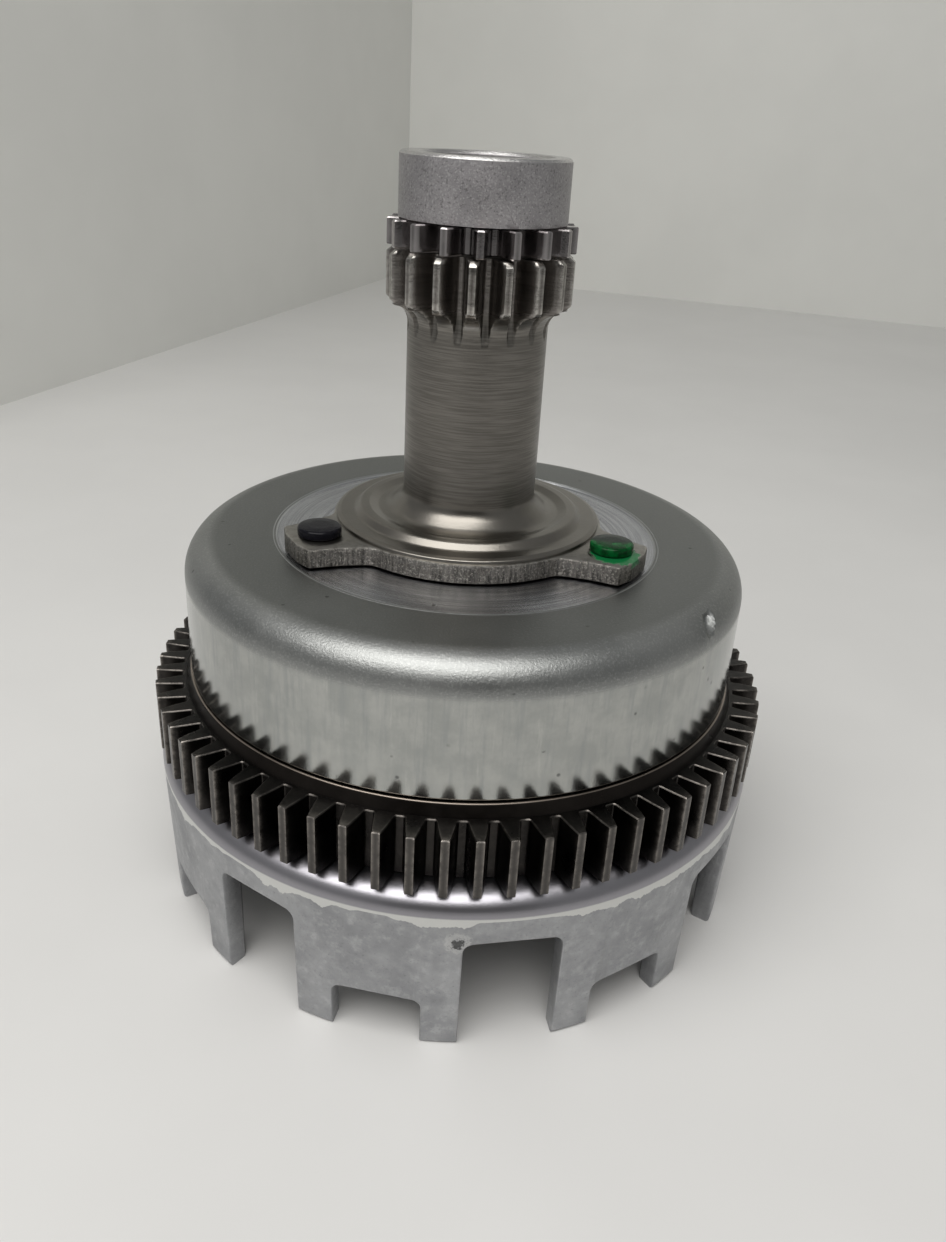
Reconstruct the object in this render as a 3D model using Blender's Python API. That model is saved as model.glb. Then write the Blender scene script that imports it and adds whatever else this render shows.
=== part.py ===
"""Clutch bell set of a small motorcycle, standing on its basket's feet.

A cast basket stands fingers down and carries the driven gear on six damper springs. A cup-shaped
drum with its flanged pinion shaft stands mouth down on the raised ring of the driven gear.
Units are millimetres until the last step, +Z is up, the axis is Z and the feet stand on z = 0.
Azimuths are in degrees, counted from -Y towards +X.
"""
import math

import bmesh
import bpy
from mathutils import Matrix, Vector

MM = 0.001

# Basket (clutch outer)
WALL_R_FOOT = 61.0
WALL_R_TOP = 62.0
PARTING_Z = 29.7
WALL_INNER_R = 57.0
SHOULDER_R = 57.7
SHOULDER_Z = 34.0
DISC_LOW_Z = 30.0
DISC_HIGH_Z = 36.0
DISC_STEP_R = 48.6
DISC_STEP_SLOPE = 0.8
FOOT_BEVEL = 0.7
HUB_R = 16.0
HUB_BORE_R = 11.3
HUB_LOW_Z = 26.0
HUB_TOP_Z = 45.0
FINGER_COUNT = 8
PANEL_AZIMUTH = -10.8
WINDOW_AZIMUTH = 11.5
WINDOW_HALF_WIDTH = 8.7
WINDOW_TOP_Z = 24.2
NOTCH_HALF_WIDTH = 8.1
NOTCH_TOP_Z = 10.2
CORNER_R = 2.0
CORNER_STEPS = 3
BELOW_FEET_Z = -2.0
BASKET_SEGMENTS = 48

# Hub bush
HUB_BUSH_R = 11.0
HUB_BUSH_BORE_R = 9.4
HUB_BUSH_LOW_Z = 26.6
HUB_BUSH_TOP_Z = 44.6
BUSH_CHAMFER = 0.4

# Damper springs, the side plate and the rivets that hold it
SPRING_COUNT = 6
SPRING_RING_R = 34.0
SPRING_Z = 38.6
SPRING_LENGTH = 18.0
SPRING_MEAN_R = 3.4
SPRING_WIRE_R = 0.8
SPRING_TURNS = 4
SPRING_STEPS_PER_TURN = 7
SPRING_SIDES = 4
POCKET_HALF_LENGTH = 9.3
POCKET_HALF_WIDTH = 4.6
POCKET_FLOOR_Z = 34.0
PLATE_LOW_Z = 41.4
PLATE_HIGH_Z = 43.4
PLATE_INNER_R = 20.7
PLATE_OUTER_R = 47.0
PLATE_WINDOW_HALF_WIDTH = 3.5
RIVET_COUNT = 3
RIVET_AZIMUTH = 30.0
RIVET_RING_R = 34.0
BOSS_R = 4.0
BOSS_TOP_Z = 41.1
BOSS_SINK = 2.0
RIVET_SHANK_R = 2.0
RIVET_HOLE_R = 2.3
RIVET_HEAD_R = 3.6
RIVET_HEAD_HEIGHT = 1.3
RIVET_SIDES = 16
RIVET_BEVEL = 0.5
TWIST_DEG = 3.0

# Driven gear
GEAR_TEETH = 69
GEAR_TIP_R = 62.125
GEAR_ROOT_R = 57.0
GEAR_LAND = 1.46
GEAR_ROOT_GAP = 1.9
GEAR_TOOTH_AZIMUTH = 4.92
GEAR_LOW_Z = 34.6
GEAR_HIGH_Z = 46.4
GEAR_CHAMFER = 0.5
LIP_BASE_R = 56.0
LIP_TOP_R = 55.3
LIP_Z = 48.7
RIM_INNER_R = 50.0
WEB_LOW_Z = 36.4
WEB_HIGH_Z = 41.0
GEAR_HUB_R = 20.0
GEAR_HUB_BORE_R = 16.3
GEAR_HUB_TOP_Z = 43.0
CLEARANCE = 0.3

# How far a cutter runs past the face it cuts through
CUT_PAST = 1.0
WALL_CUT_MARGIN = 3.0
TOOTH_CUT_REACH = 1.08

# Drum
DRUM_R = 55.0
DRUM_BORE_R = 52.0
DRUM_RIM_Z = 49.0
DRUM_TOP_Z = 74.8
DRUM_PLATE_LOW_Z = 71.8
DRUM_SHOULDER_R = 5.6
DRUM_SHOULDER_STEPS = 4
DRUM_INNER_CORNER_R = 2.6
DRUM_RECESS_R = 37.6
DRUM_RECESS_DEPTH = 0.3
DRUM_HOLE_R = 17.0
DRUM_SEGMENTS = 60
SHAFT_SEGMENTS_PER_TOOTH = 2
DIMPLE_AZIMUTH = 54.0
DIMPLE_R = 53.3
DIMPLE_Z = 72.9
DIMPLE_LEAN_DEG = 45.0
DIMPLE_SIZE = (2.8, 1.4, 1.2)

# Drive gear shaft
FLANGE_LOW_Z = 74.8
FLANGE_HIGH_Z = 78.6
FLANGE_R = 26.3
FLANGE_DISC_STEPS = 7
EAR_TIP_R = 37.0
# Half an ear from the disc outwards: radius and azimuth from the ear's middle
EAR_SIDE = (
    (FLANGE_R, 26.0),
    (26.7, 20.5),
    (28.4, 16.8),
    (31.2, 13.6),
    (36.2, 10.4),
    (EAR_TIP_R, 9.0),
    (EAR_TIP_R, 3.0),
)
EAR_AZIMUTHS = (-60.0, 60.0, 180.0)
SPIGOT_R = 16.6
SPIGOT_LOW_Z = 71.6
SPIGOT_INTO_FLANGE = 1.0
BOSS_RIM_R = 25.8
# Stepped boss from its rim inwards to the tube: radius and height
BOSS_STEPS = (
    (BOSS_RIM_R, 79.1),
    (25.3, 79.4),
    (21.9, 79.5),
    (21.0, 80.4),
    (19.6, 80.6),
    (17.0, 80.3),
    (14.6, 81.0),
    (13.3, 82.4),
)
BOSS_HIGH_Z = 84.6
TUBE_R = 12.83
PINION_TEETH = 17
PINION_TIP_R = 16.8
PINION_ROOT_R = 12.1
PINION_LAND = 1.2
PINION_ROOT_GAP = 1.5
PINION_TOOTH_AZIMUTH = -3.9
PINION_LOW_Z = 119.0
PINION_HIGH_Z = 128.2
PINION_CHAMFER = 0.9
FILLET_LOW_Z = 115.2
FILLET_MIDDLE_Z = 117.4
FILLET_HIGH_Z = 118.9
FILLET_RISE = 0.6
RUN_OUT_Z = 113.5
RUN_OUT_MIDDLE_Z = 116.5
RUN_OUT_MIDDLE_SHARE = 0.3
RUN_OUT_CLEAR = 0.1
GAP_TOP_CLEAR = 0.15
JOURNAL_R = 10.9
JOURNAL_TOP_Z = 142.9
GROOVE_R = 9.7
GROOVE_LOW_Z = 129.6
GROOVE_HIGH_Z = 131.6
SHAFT_BORE_R = 9.6
SHAFT_BORE_TOP_Z = 127.0
NOSE_BORE_R = 8.3
BORE_SEGMENTS = 40
DRUM_RIVET_RING_R = 31.2
DRUM_RIVET_HEAD_R = 4.05
DRUM_RIVET_SHANK_R = 3.0
DRUM_RIVET_HOLE_R = 3.3
DRUM_RIVET_TOP_Z = 80.5
DRUM_RIVET_FOOT_HEIGHT = 1.5
DRUM_RIVET_HEAD_GAP = 0.2

# Sub gear, its spring, the end collar and the shaft bushes
SUB_TOOTH_AZIMUTH = -0.3
SUB_LOW_Z = 128.5
SUB_HIGH_Z = 133.0
SUB_BORE_R = 11.15
SUB_CHAMFER = 0.3
RING_SPRING_GAP_DEG = 34.0
RING_SPRING_INNER_R = 9.95
RING_SPRING_OUTER_R = 10.7
RING_SPRING_SIDE_GAP = 0.2
RING_SPRING_STEPS = 24
COLLAR_R = 14.9
COLLAR_BORE_R = 11.2
COLLAR_LOW_Z = 133.2
COLLAR_HIGH_Z = 143.7
COLLAR_CHAMFER = 0.5
BUSH_R = 9.5
BUSH_BORE_R = 8.1
LOWER_BUSH_Z = (72.5, 88.0)
UPPER_BUSH_Z = (108.0, 124.0)

SHARP_ANGLE_DEG = 30.0


def spot(azimuth, radius, z=0.0):
    """Point at an azimuth, a radius and a height."""
    angle = math.radians(azimuth)
    return Vector((radius * math.sin(angle), -radius * math.cos(angle), z))


def arc(centre, radius, start_deg, end_deg, steps):
    """Points of a circular arc in a two-axis plane, both ends included."""
    points = []
    for i in range(steps + 1):
        angle = math.radians(start_deg + (end_deg - start_deg) * i / steps)
        points.append((centre[0] + radius * math.cos(angle), centre[1] + radius * math.sin(angle)))
    return points


def material(slot, colour, metallic, roughness):
    """Principled material of one slot."""
    made = bpy.data.materials.get(slot) or bpy.data.materials.new(slot)
    made.use_nodes = True
    shader = made.node_tree.nodes["Principled BSDF"]
    shader.inputs["Base Color"].default_value = (*colour, 1.0)
    shader.inputs["Metallic"].default_value = metallic
    shader.inputs["Roughness"].default_value = roughness
    return made


def cast_aluminium():
    return material("cast_aluminium", (0.56, 0.57, 0.58), 1.0, 0.45)


def dark_gear_steel():
    return material("dark_gear_steel", (0.12, 0.11, 0.10), 1.0, 0.35)


def drum_steel():
    return material("drum_steel", (0.42, 0.43, 0.42), 1.0, 0.38)


def shaft_steel():
    return material("shaft_steel", (0.35, 0.32, 0.29), 1.0, 0.3)


def sub_gear_steel():
    return material("sub_gear_steel", (0.45, 0.43, 0.43), 1.0, 0.2)


def collar_steel():
    return material("collar_steel", (0.52, 0.51, 0.53), 1.0, 0.55)


def bush_bronze():
    return material("bush_bronze", (0.55, 0.40, 0.22), 1.0, 0.35)


def spring_steel():
    return material("spring_steel", (0.30, 0.30, 0.31), 1.0, 0.35)


def plate_steel():
    return material("plate_steel", (0.40, 0.40, 0.41), 1.0, 0.4)


def rivet_steel():
    return material("rivet_steel", (0.38, 0.37, 0.36), 1.0, 0.35)


def black_paint():
    return material("black_paint", (0.015, 0.015, 0.017), 0.0, 0.25)


def green_paint():
    return material("green_paint", (0.01, 0.22, 0.06), 0.0, 0.2)


def outward(bm):
    """Turns every face of a closed bmesh outwards."""
    bmesh.ops.recalc_face_normals(bm, faces=bm.faces)
    if bm.calc_volume(signed=True) < 0:
        bmesh.ops.reverse_faces(bm, faces=bm.faces)


def new_object(name, bm):
    """Object made of a finished bmesh."""
    outward(bm)
    mesh = bpy.data.meshes.new(name)
    bm.to_mesh(mesh)
    bm.free()
    made = bpy.data.objects.new(name, mesh)
    bpy.context.scene.collection.objects.link(made)
    return made


def add_loft(bm, rings, closed):
    """Joins rings of the same size into one tube, capped at its ends or closed on itself."""
    loops = [[bm.verts.new(point) for point in ring] for ring in rings]
    pairs = list(zip(loops, loops[1:]))
    if closed:
        pairs.append((loops[-1], loops[0]))
    for low, high in pairs:
        for i, vert in enumerate(low):
            j = (i + 1) % len(low)
            bm.faces.new((vert, low[j], high[j], high[i]))
    if not closed:
        bm.faces.new(loops[0])
        bm.faces.new(loops[-1])


def add_turning(bm, profile, segments, start_azimuth=0.0):
    """Adds a body turned from a closed (radius, height) profile that stays off the axis."""
    rings = []
    for i in range(segments):
        azimuth = start_azimuth + 360.0 * i / segments
        rings.append([spot(azimuth, radius, z) for radius, z in profile])
    add_loft(bm, rings, closed=True)


def add_solid_turning(bm, profile, segments, start_azimuth=0.0):
    """Adds a body turned from an open (radius, height) profile, with flat ends across the axis."""
    rings = []
    for radius, z in profile:
        ring = [spot(start_azimuth + 360.0 * i / segments, radius, z) for i in range(segments)]
        rings.append(ring)
    add_loft(bm, rings, closed=False)


def add_prism(bm, outline, low_z, high_z):
    """Adds a prism that stands on a closed XY outline."""
    low = [Vector((x, y, low_z)) for x, y in outline]
    high = [Vector((x, y, high_z)) for x, y in outline]
    add_loft(bm, [low, high], closed=False)


def add_radial_prism(bm, azimuth, outline, inner_r, outer_r):
    """Adds a prism that runs outwards along an azimuth; its outline is (sideways, height)."""
    out = spot(azimuth, 1.0)
    side = spot(azimuth + 90.0, 1.0)
    rings = []
    for radius in (inner_r, outer_r):
        rings.append([out * radius + side * across + Vector((0, 0, z)) for across, z in outline])
    add_loft(bm, rings, closed=False)


def add_block(bm, azimuth, ring_r, half_length, half_width, low_z, high_z):
    """Adds a block centred on a ring, long in the direction round the ring."""
    outline = [(-half_length, low_z), (half_length, low_z), (half_length, high_z), (-half_length, high_z)]
    add_radial_prism(bm, azimuth, outline, ring_r - half_width, ring_r + half_width)


def add_cylinder(bm, azimuth, ring_r, radius, low_z, high_z, sides=16):
    """Adds an upright cylinder centred on a ring."""
    centre = spot(azimuth, ring_r)
    outline = []
    for i in range(sides):
        corner = spot(360.0 * i / sides, radius)
        outline.append((centre.x + corner.x, centre.y + corner.y))
    add_prism(bm, outline, low_z, high_z)


def combine(target, bm, operation):
    """Adds a tool body to a solid or takes it away, and removes the tool."""
    tool = new_object("tool", bm)
    tool.hide_render = True
    tool.display_type = "WIRE"
    modifier = target.modifiers.new("combine", "BOOLEAN")
    modifier.operation = operation
    modifier.solver = "EXACT"
    modifier.object = tool
    depsgraph = bpy.context.evaluated_depsgraph_get()
    shape = bpy.data.meshes.new_from_object(target.evaluated_get(depsgraph))
    target.modifiers.clear()
    old = target.data
    target.data = shape
    bpy.data.meshes.remove(old)
    bpy.data.objects.remove(tool)


def finish_part(part, slot_material):
    """Scales a part to metres, gives it its material and shades its round faces smooth."""
    part.data.transform(Matrix.Scale(MM, 4))
    part.data.materials.clear()
    part.data.materials.append(slot_material)
    part.data.shade_smooth()
    part.data.set_sharp_from_angle(angle=math.radians(SHARP_ANGLE_DEG))
    return part


def arch(half_width, top_z):
    """Outline of an opening that starts below the feet and has rounded upper corners."""
    left = arc((-half_width + CORNER_R, top_z - CORNER_R), CORNER_R, 180.0, 90.0, CORNER_STEPS)
    right = arc((half_width - CORNER_R, top_z - CORNER_R), CORNER_R, 90.0, 0.0, CORNER_STEPS)
    return [(-half_width, BELOW_FEET_Z), *left, *right, (half_width, BELOW_FEET_Z)]


def spring_azimuths():
    return [360.0 * i / SPRING_COUNT for i in range(SPRING_COUNT)]


def rivet_azimuths():
    return [RIVET_AZIMUTH + 360.0 * i / RIVET_COUNT for i in range(RIVET_COUNT)]


def clutch_outer():
    """Cast basket: fingers down, a disc across the top, a hub and three bosses on the disc."""
    shoulder_r = WALL_R_TOP - SHOULDER_R
    shoulder = arc((SHOULDER_R, PARTING_Z), shoulder_r, 0.0, 90.0, CORNER_STEPS)
    profile = [
        (HUB_BORE_R, HUB_LOW_Z),
        (HUB_R, HUB_LOW_Z),
        (HUB_R, DISC_LOW_Z),
        (WALL_INNER_R, DISC_LOW_Z),
        (WALL_INNER_R, FOOT_BEVEL),
        (WALL_INNER_R + FOOT_BEVEL, 0.0),
        (WALL_R_FOOT - FOOT_BEVEL, 0.0),
        (WALL_R_FOOT, FOOT_BEVEL),
        *shoulder,
        (DISC_STEP_R + DISC_STEP_SLOPE, SHOULDER_Z),
        (DISC_STEP_R, DISC_HIGH_Z),
        (HUB_R, DISC_HIGH_Z),
        (HUB_R, HUB_TOP_Z),
        (HUB_BORE_R, HUB_TOP_Z),
    ]
    bm = bmesh.new()
    add_turning(bm, profile, BASKET_SEGMENTS)
    basket = new_object("clutch_outer", bm)
    bosses = bmesh.new()
    for azimuth in rivet_azimuths():
        add_cylinder(bosses, azimuth, RIVET_RING_R, BOSS_R, DISC_LOW_Z + BOSS_SINK, BOSS_TOP_Z)
    combine(basket, bosses, "UNION")
    openings = bmesh.new()
    inner_r = WALL_INNER_R - WALL_CUT_MARGIN
    outer_r = WALL_R_TOP + WALL_CUT_MARGIN
    for i in range(FINGER_COUNT):
        turn = 360.0 * i / FINGER_COUNT
        window = arch(WINDOW_HALF_WIDTH, WINDOW_TOP_Z)
        add_radial_prism(openings, WINDOW_AZIMUTH + turn, window, inner_r, outer_r)
        notch = arch(NOTCH_HALF_WIDTH, NOTCH_TOP_Z)
        add_radial_prism(openings, PANEL_AZIMUTH + turn, notch, inner_r, outer_r)
    for azimuth in spring_azimuths():
        add_block(
            openings, azimuth, SPRING_RING_R, POCKET_HALF_LENGTH, POCKET_HALF_WIDTH,
            POCKET_FLOOR_Z, DISC_HIGH_Z + CUT_PAST,
        )
    for azimuth in rivet_azimuths():
        add_cylinder(
            openings, azimuth, RIVET_RING_R, RIVET_HOLE_R, DISC_LOW_Z - CUT_PAST, BOSS_TOP_Z + CUT_PAST)
    combine(basket, openings, "DIFFERENCE")
    return finish_part(basket, cast_aluminium())


def sleeve(name, outer_r, inner_r, low_z, high_z, chamfer, slot_material, segments=32):
    """Plain sleeve with a chamfer round its upper outer edge."""
    profile = [
        (inner_r, low_z),
        (outer_r, low_z),
        (outer_r, high_z - chamfer),
        (outer_r - chamfer, high_z),
        (inner_r, high_z),
    ]
    bm = bmesh.new()
    add_turning(bm, profile, segments)
    return finish_part(new_object(name, bm), slot_material)


def damper_spring(name, azimuth):
    """Round-wire coil spring that lies along the ring of its pocket."""
    centre = spot(azimuth, SPRING_RING_R, SPRING_Z)
    along = spot(azimuth + 90.0, 1.0)
    out = spot(azimuth, 1.0)
    up = Vector((0.0, 0.0, 1.0))
    steps = SPRING_TURNS * SPRING_STEPS_PER_TURN
    coil_length = SPRING_LENGTH - 2.0 * SPRING_WIRE_R
    rings = []
    for i in range(steps + 1):
        angle = 2.0 * math.pi * i / SPRING_STEPS_PER_TURN
        outwards = out * math.cos(angle) + up * math.sin(angle)
        middle = centre + outwards * SPRING_MEAN_R + along * (coil_length * (i / steps - 0.5))
        ring = []
        for k in range(SPRING_SIDES):
            side = 2.0 * math.pi * k / SPRING_SIDES
            ring.append(middle + (outwards * math.cos(side) + along * math.sin(side)) * SPRING_WIRE_R)
        rings.append(ring)
    bm = bmesh.new()
    add_loft(bm, rings, closed=False)
    return finish_part(new_object(name, bm), spring_steel())


def side_plate():
    """Flat ring over the damper springs, with a window over each and a hole for each rivet."""
    profile = [
        (PLATE_INNER_R, PLATE_LOW_Z),
        (PLATE_OUTER_R, PLATE_LOW_Z),
        (PLATE_OUTER_R, PLATE_HIGH_Z),
        (PLATE_INNER_R, PLATE_HIGH_Z),
    ]
    bm = bmesh.new()
    add_turning(bm, profile, BASKET_SEGMENTS)
    plate = new_object("side_plate", bm)
    openings = bmesh.new()
    for azimuth in spring_azimuths():
        add_block(
            openings, azimuth, SPRING_RING_R, POCKET_HALF_LENGTH, PLATE_WINDOW_HALF_WIDTH,
            PLATE_LOW_Z - CUT_PAST, PLATE_HIGH_Z + CUT_PAST,
        )
    for azimuth in rivet_azimuths():
        add_cylinder(
            openings, azimuth, RIVET_RING_R, RIVET_HOLE_R, PLATE_LOW_Z - CUT_PAST, PLATE_HIGH_Z + CUT_PAST)
    combine(plate, openings, "DIFFERENCE")
    return finish_part(plate, plate_steel())


def rivet(name, azimuth, ring_r, shank_r, head_r, heights, slot_material):
    """Rivet with a bevelled head above and a flat one below; heights run from the bottom up."""
    low_z, low_head_z, high_head_z, top_z = heights
    profile = [
        (head_r, low_z),
        (head_r, low_head_z),
        (shank_r, low_head_z),
        (shank_r, high_head_z),
        (head_r, high_head_z),
        (head_r, top_z - RIVET_BEVEL),
        (head_r - RIVET_BEVEL, top_z),
    ]
    bm = bmesh.new()
    add_solid_turning(bm, profile, RIVET_SIDES)
    bmesh.ops.translate(bm, verts=bm.verts, vec=spot(azimuth, ring_r))
    return finish_part(new_object(name, bm), slot_material)


def add_tooth_gaps(bm, teeth, azimuth, tip_r, root_r, land, root_gap, levels):
    """Adds the gap beside every tooth; levels are (height, extra root radius) from the bottom up."""
    pitch = 360.0 / teeth
    tip_gap = 2.0 * math.pi * tip_r / teeth - land
    slope = (tip_gap - root_gap) / (tip_r - root_r)
    for i in range(teeth):
        middle = azimuth + pitch * (i + 0.5)
        out = spot(middle, 1.0)
        side = spot(middle + 90.0, 1.0)
        rings = []
        for z, lift in levels:
            floor_r = root_r + lift
            far_r = tip_r * TOOTH_CUT_REACH
            near = (root_gap + slope * lift) / 2.0
            far = (root_gap + slope * (far_r - root_r)) / 2.0
            corners = ((-near, floor_r), (near, floor_r), (far, far_r), (-far, far_r))
            rings.append([out * radius + side * across + Vector((0, 0, z)) for across, radius in corners])
        add_loft(bm, rings, closed=False)


def add_curved_slot(bm, azimuth, ring_r, half_width, half_angle, low_z, high_z):
    """Adds a slot that follows the ring for an angle to each side, with round ends."""
    def round_end(centre_azimuth, start, steps=6):
        centre = spot(centre_azimuth, ring_r)
        corners = []
        for i in range(steps + 1):
            corner = centre + spot(start + 180.0 * i / steps, half_width)
            corners.append((corner.x, corner.y))
        return corners

    outline = round_end(azimuth + half_angle, azimuth + half_angle)
    outline += round_end(azimuth - half_angle, azimuth - half_angle + 180.0)
    add_prism(bm, outline, low_z, high_z)


def primary_driven_gear():
    """Spur gear with a raised ring inside its teeth and a web with spring windows."""
    profile = [
        (GEAR_HUB_BORE_R, WEB_LOW_Z),
        (RIM_INNER_R, WEB_LOW_Z),
        (RIM_INNER_R, GEAR_LOW_Z),
        (GEAR_TIP_R, GEAR_LOW_Z),
        (GEAR_TIP_R, GEAR_HIGH_Z - GEAR_CHAMFER),
        (GEAR_TIP_R - GEAR_CHAMFER, GEAR_HIGH_Z),
        (LIP_BASE_R, GEAR_HIGH_Z),
        (LIP_TOP_R, LIP_Z),
        (RIM_INNER_R, LIP_Z),
        (RIM_INNER_R, WEB_HIGH_Z),
        (GEAR_HUB_R, WEB_HIGH_Z),
        (GEAR_HUB_R, GEAR_HUB_TOP_Z),
        (GEAR_HUB_BORE_R, GEAR_HUB_TOP_Z),
    ]
    bm = bmesh.new()
    add_turning(bm, profile, GEAR_TEETH, GEAR_TOOTH_AZIMUTH)
    gear = new_object("primary_driven_gear", bm)
    openings = bmesh.new()
    levels = ((GEAR_LOW_Z - CUT_PAST, 0.0), (GEAR_HIGH_Z + CUT_PAST, 0.0))
    add_tooth_gaps(
        openings, GEAR_TEETH, GEAR_TOOTH_AZIMUTH, GEAR_TIP_R, GEAR_ROOT_R, GEAR_LAND,
        GEAR_ROOT_GAP, levels,
    )
    for azimuth in spring_azimuths():
        add_block(
            openings, azimuth, SPRING_RING_R, POCKET_HALF_LENGTH, POCKET_HALF_WIDTH,
            WEB_LOW_Z - CUT_PAST, WEB_HIGH_Z + CUT_PAST,
        )
    for azimuth in rivet_azimuths():
        add_curved_slot(
            openings, azimuth, RIVET_RING_R, BOSS_R + CLEARANCE, TWIST_DEG,
            WEB_LOW_Z - CUT_PAST, WEB_HIGH_Z + CUT_PAST,
        )
    combine(gear, openings, "DIFFERENCE")
    return finish_part(gear, dark_gear_steel())


def clutch_drum():
    """Turned cup, mouth down, with a shallow recess for the flange and a dimple in its shoulder."""
    outer_corner = arc(
        (DRUM_R - DRUM_SHOULDER_R, DRUM_TOP_Z - DRUM_SHOULDER_R), DRUM_SHOULDER_R, 0.0, 90.0,
        DRUM_SHOULDER_STEPS,
    )
    inner_corner = [
        (DRUM_BORE_R - DRUM_INNER_CORNER_R, DRUM_PLATE_LOW_Z),
        (DRUM_BORE_R, DRUM_PLATE_LOW_Z - DRUM_INNER_CORNER_R),
    ]
    recess_z = DRUM_TOP_Z - DRUM_RECESS_DEPTH
    profile = [
        (DRUM_BORE_R, DRUM_RIM_Z),
        (DRUM_R, DRUM_RIM_Z),
        *outer_corner,
        (DRUM_RECESS_R + DRUM_RECESS_DEPTH, DRUM_TOP_Z),
        (DRUM_RECESS_R, recess_z),
        (DRUM_HOLE_R, recess_z),
        (DRUM_HOLE_R, DRUM_PLATE_LOW_Z),
        *inner_corner,
    ]
    bm = bmesh.new()
    add_turning(bm, profile, DRUM_SEGMENTS)
    drum = new_object("clutch_drum", bm)
    openings = bmesh.new()
    for azimuth in EAR_AZIMUTHS:
        add_cylinder(
            openings, azimuth, DRUM_RIVET_RING_R, DRUM_RIVET_HOLE_R, DRUM_PLATE_LOW_Z - CUT_PAST,
            DRUM_TOP_Z + CUT_PAST,
        )
    dimple = bmesh.ops.create_uvsphere(openings, u_segments=10, v_segments=6, radius=1.0)["verts"]
    place = Matrix.Translation(spot(DIMPLE_AZIMUTH, DIMPLE_R, DIMPLE_Z))
    turn = Matrix.Rotation(math.radians(DIMPLE_AZIMUTH), 4, "Z")
    lean = Matrix.Rotation(math.radians(DIMPLE_LEAN_DEG), 4, "X")
    size = Matrix.Diagonal((*DIMPLE_SIZE, 1.0))
    bmesh.ops.transform(openings, matrix=place @ turn @ lean @ size, verts=dimple)
    combine(drum, openings, "DIFFERENCE")
    return finish_part(drum, drum_steel())


def flange_outline():
    """Outline of the flange: a disc with three ears that narrow outwards, joined by hollow curves."""
    outline = []
    for ear in sorted(EAR_AZIMUTHS):
        near = [spot(ear - offset, radius) for radius, offset in EAR_SIDE]
        far = [spot(ear + offset, radius) for radius, offset in reversed(EAR_SIDE)]
        disc_start = ear + EAR_SIDE[0][1]
        disc_span = 120.0 - 2.0 * EAR_SIDE[0][1]
        disc = []
        for i in range(1, FLANGE_DISC_STEPS):
            disc.append(spot(disc_start + disc_span * i / FLANGE_DISC_STEPS, FLANGE_R))
        outline += near + far + disc
    return [(point.x, point.y) for point in outline]


def primary_drive_gear():
    """Forging: eared flange, stepped boss, tube, pinion and the journal above it."""
    profile = [
        (SPIGOT_R, SPIGOT_LOW_Z),
        (SPIGOT_R, FLANGE_LOW_Z + SPIGOT_INTO_FLANGE),
        (BOSS_RIM_R, FLANGE_LOW_Z + SPIGOT_INTO_FLANGE),
        *BOSS_STEPS,
        (TUBE_R, BOSS_HIGH_Z),
        (TUBE_R, FILLET_LOW_Z),
        (TUBE_R + FILLET_RISE, FILLET_MIDDLE_Z),
        (PINION_TIP_R - PINION_CHAMFER, FILLET_HIGH_Z),
        (PINION_TIP_R, FILLET_HIGH_Z + PINION_CHAMFER),
        (PINION_TIP_R, PINION_HIGH_Z - PINION_CHAMFER),
        (PINION_TIP_R - PINION_CHAMFER, PINION_HIGH_Z),
        (JOURNAL_R, PINION_HIGH_Z),
        (JOURNAL_R, GROOVE_LOW_Z),
        (GROOVE_R, GROOVE_LOW_Z),
        (GROOVE_R, GROOVE_HIGH_Z),
        (JOURNAL_R, GROOVE_HIGH_Z),
        (JOURNAL_R, JOURNAL_TOP_Z),
    ]
    bm = bmesh.new()
    add_solid_turning(bm, profile, PINION_TEETH * SHAFT_SEGMENTS_PER_TOOTH, PINION_TOOTH_AZIMUTH)
    shaft = new_object("primary_drive_gear", bm)
    flange = bmesh.new()
    add_prism(flange, flange_outline(), FLANGE_LOW_Z, FLANGE_HIGH_Z)
    combine(shaft, flange, "UNION")
    openings = bmesh.new()
    fade = TUBE_R - PINION_ROOT_R + RUN_OUT_CLEAR
    levels = (
        (RUN_OUT_Z, fade),
        (RUN_OUT_MIDDLE_Z, fade * RUN_OUT_MIDDLE_SHARE),
        (PINION_LOW_Z, 0.0),
        (PINION_HIGH_Z + GAP_TOP_CLEAR, 0.0),
    )
    add_tooth_gaps(
        openings, PINION_TEETH, PINION_TOOTH_AZIMUTH, PINION_TIP_R, PINION_ROOT_R, PINION_LAND,
        PINION_ROOT_GAP, levels,
    )
    for azimuth in EAR_AZIMUTHS:
        add_cylinder(
            openings, azimuth, DRUM_RIVET_RING_R, DRUM_RIVET_HOLE_R, FLANGE_LOW_Z - CUT_PAST,
            FLANGE_HIGH_Z + CUT_PAST,
        )
    bore = [
        (SHAFT_BORE_R, SPIGOT_LOW_Z - CUT_PAST),
        (SHAFT_BORE_R, SHAFT_BORE_TOP_Z),
        (NOSE_BORE_R, SHAFT_BORE_TOP_Z),
        (NOSE_BORE_R, JOURNAL_TOP_Z + CUT_PAST),
    ]
    add_solid_turning(openings, bore, BORE_SEGMENTS)
    combine(shaft, openings, "DIFFERENCE")
    return finish_part(shaft, shaft_steel())


def drum_rivet(name, azimuth, slot_material):
    """Rivet through one ear of the flange and the drum's top."""
    heights = (
        DRUM_PLATE_LOW_Z - CLEARANCE - DRUM_RIVET_FOOT_HEIGHT,
        DRUM_PLATE_LOW_Z - CLEARANCE,
        FLANGE_HIGH_Z + DRUM_RIVET_HEAD_GAP,
        DRUM_RIVET_TOP_Z,
    )
    return rivet(
        name, azimuth, DRUM_RIVET_RING_R, DRUM_RIVET_SHANK_R, DRUM_RIVET_HEAD_R, heights, slot_material)


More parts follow.
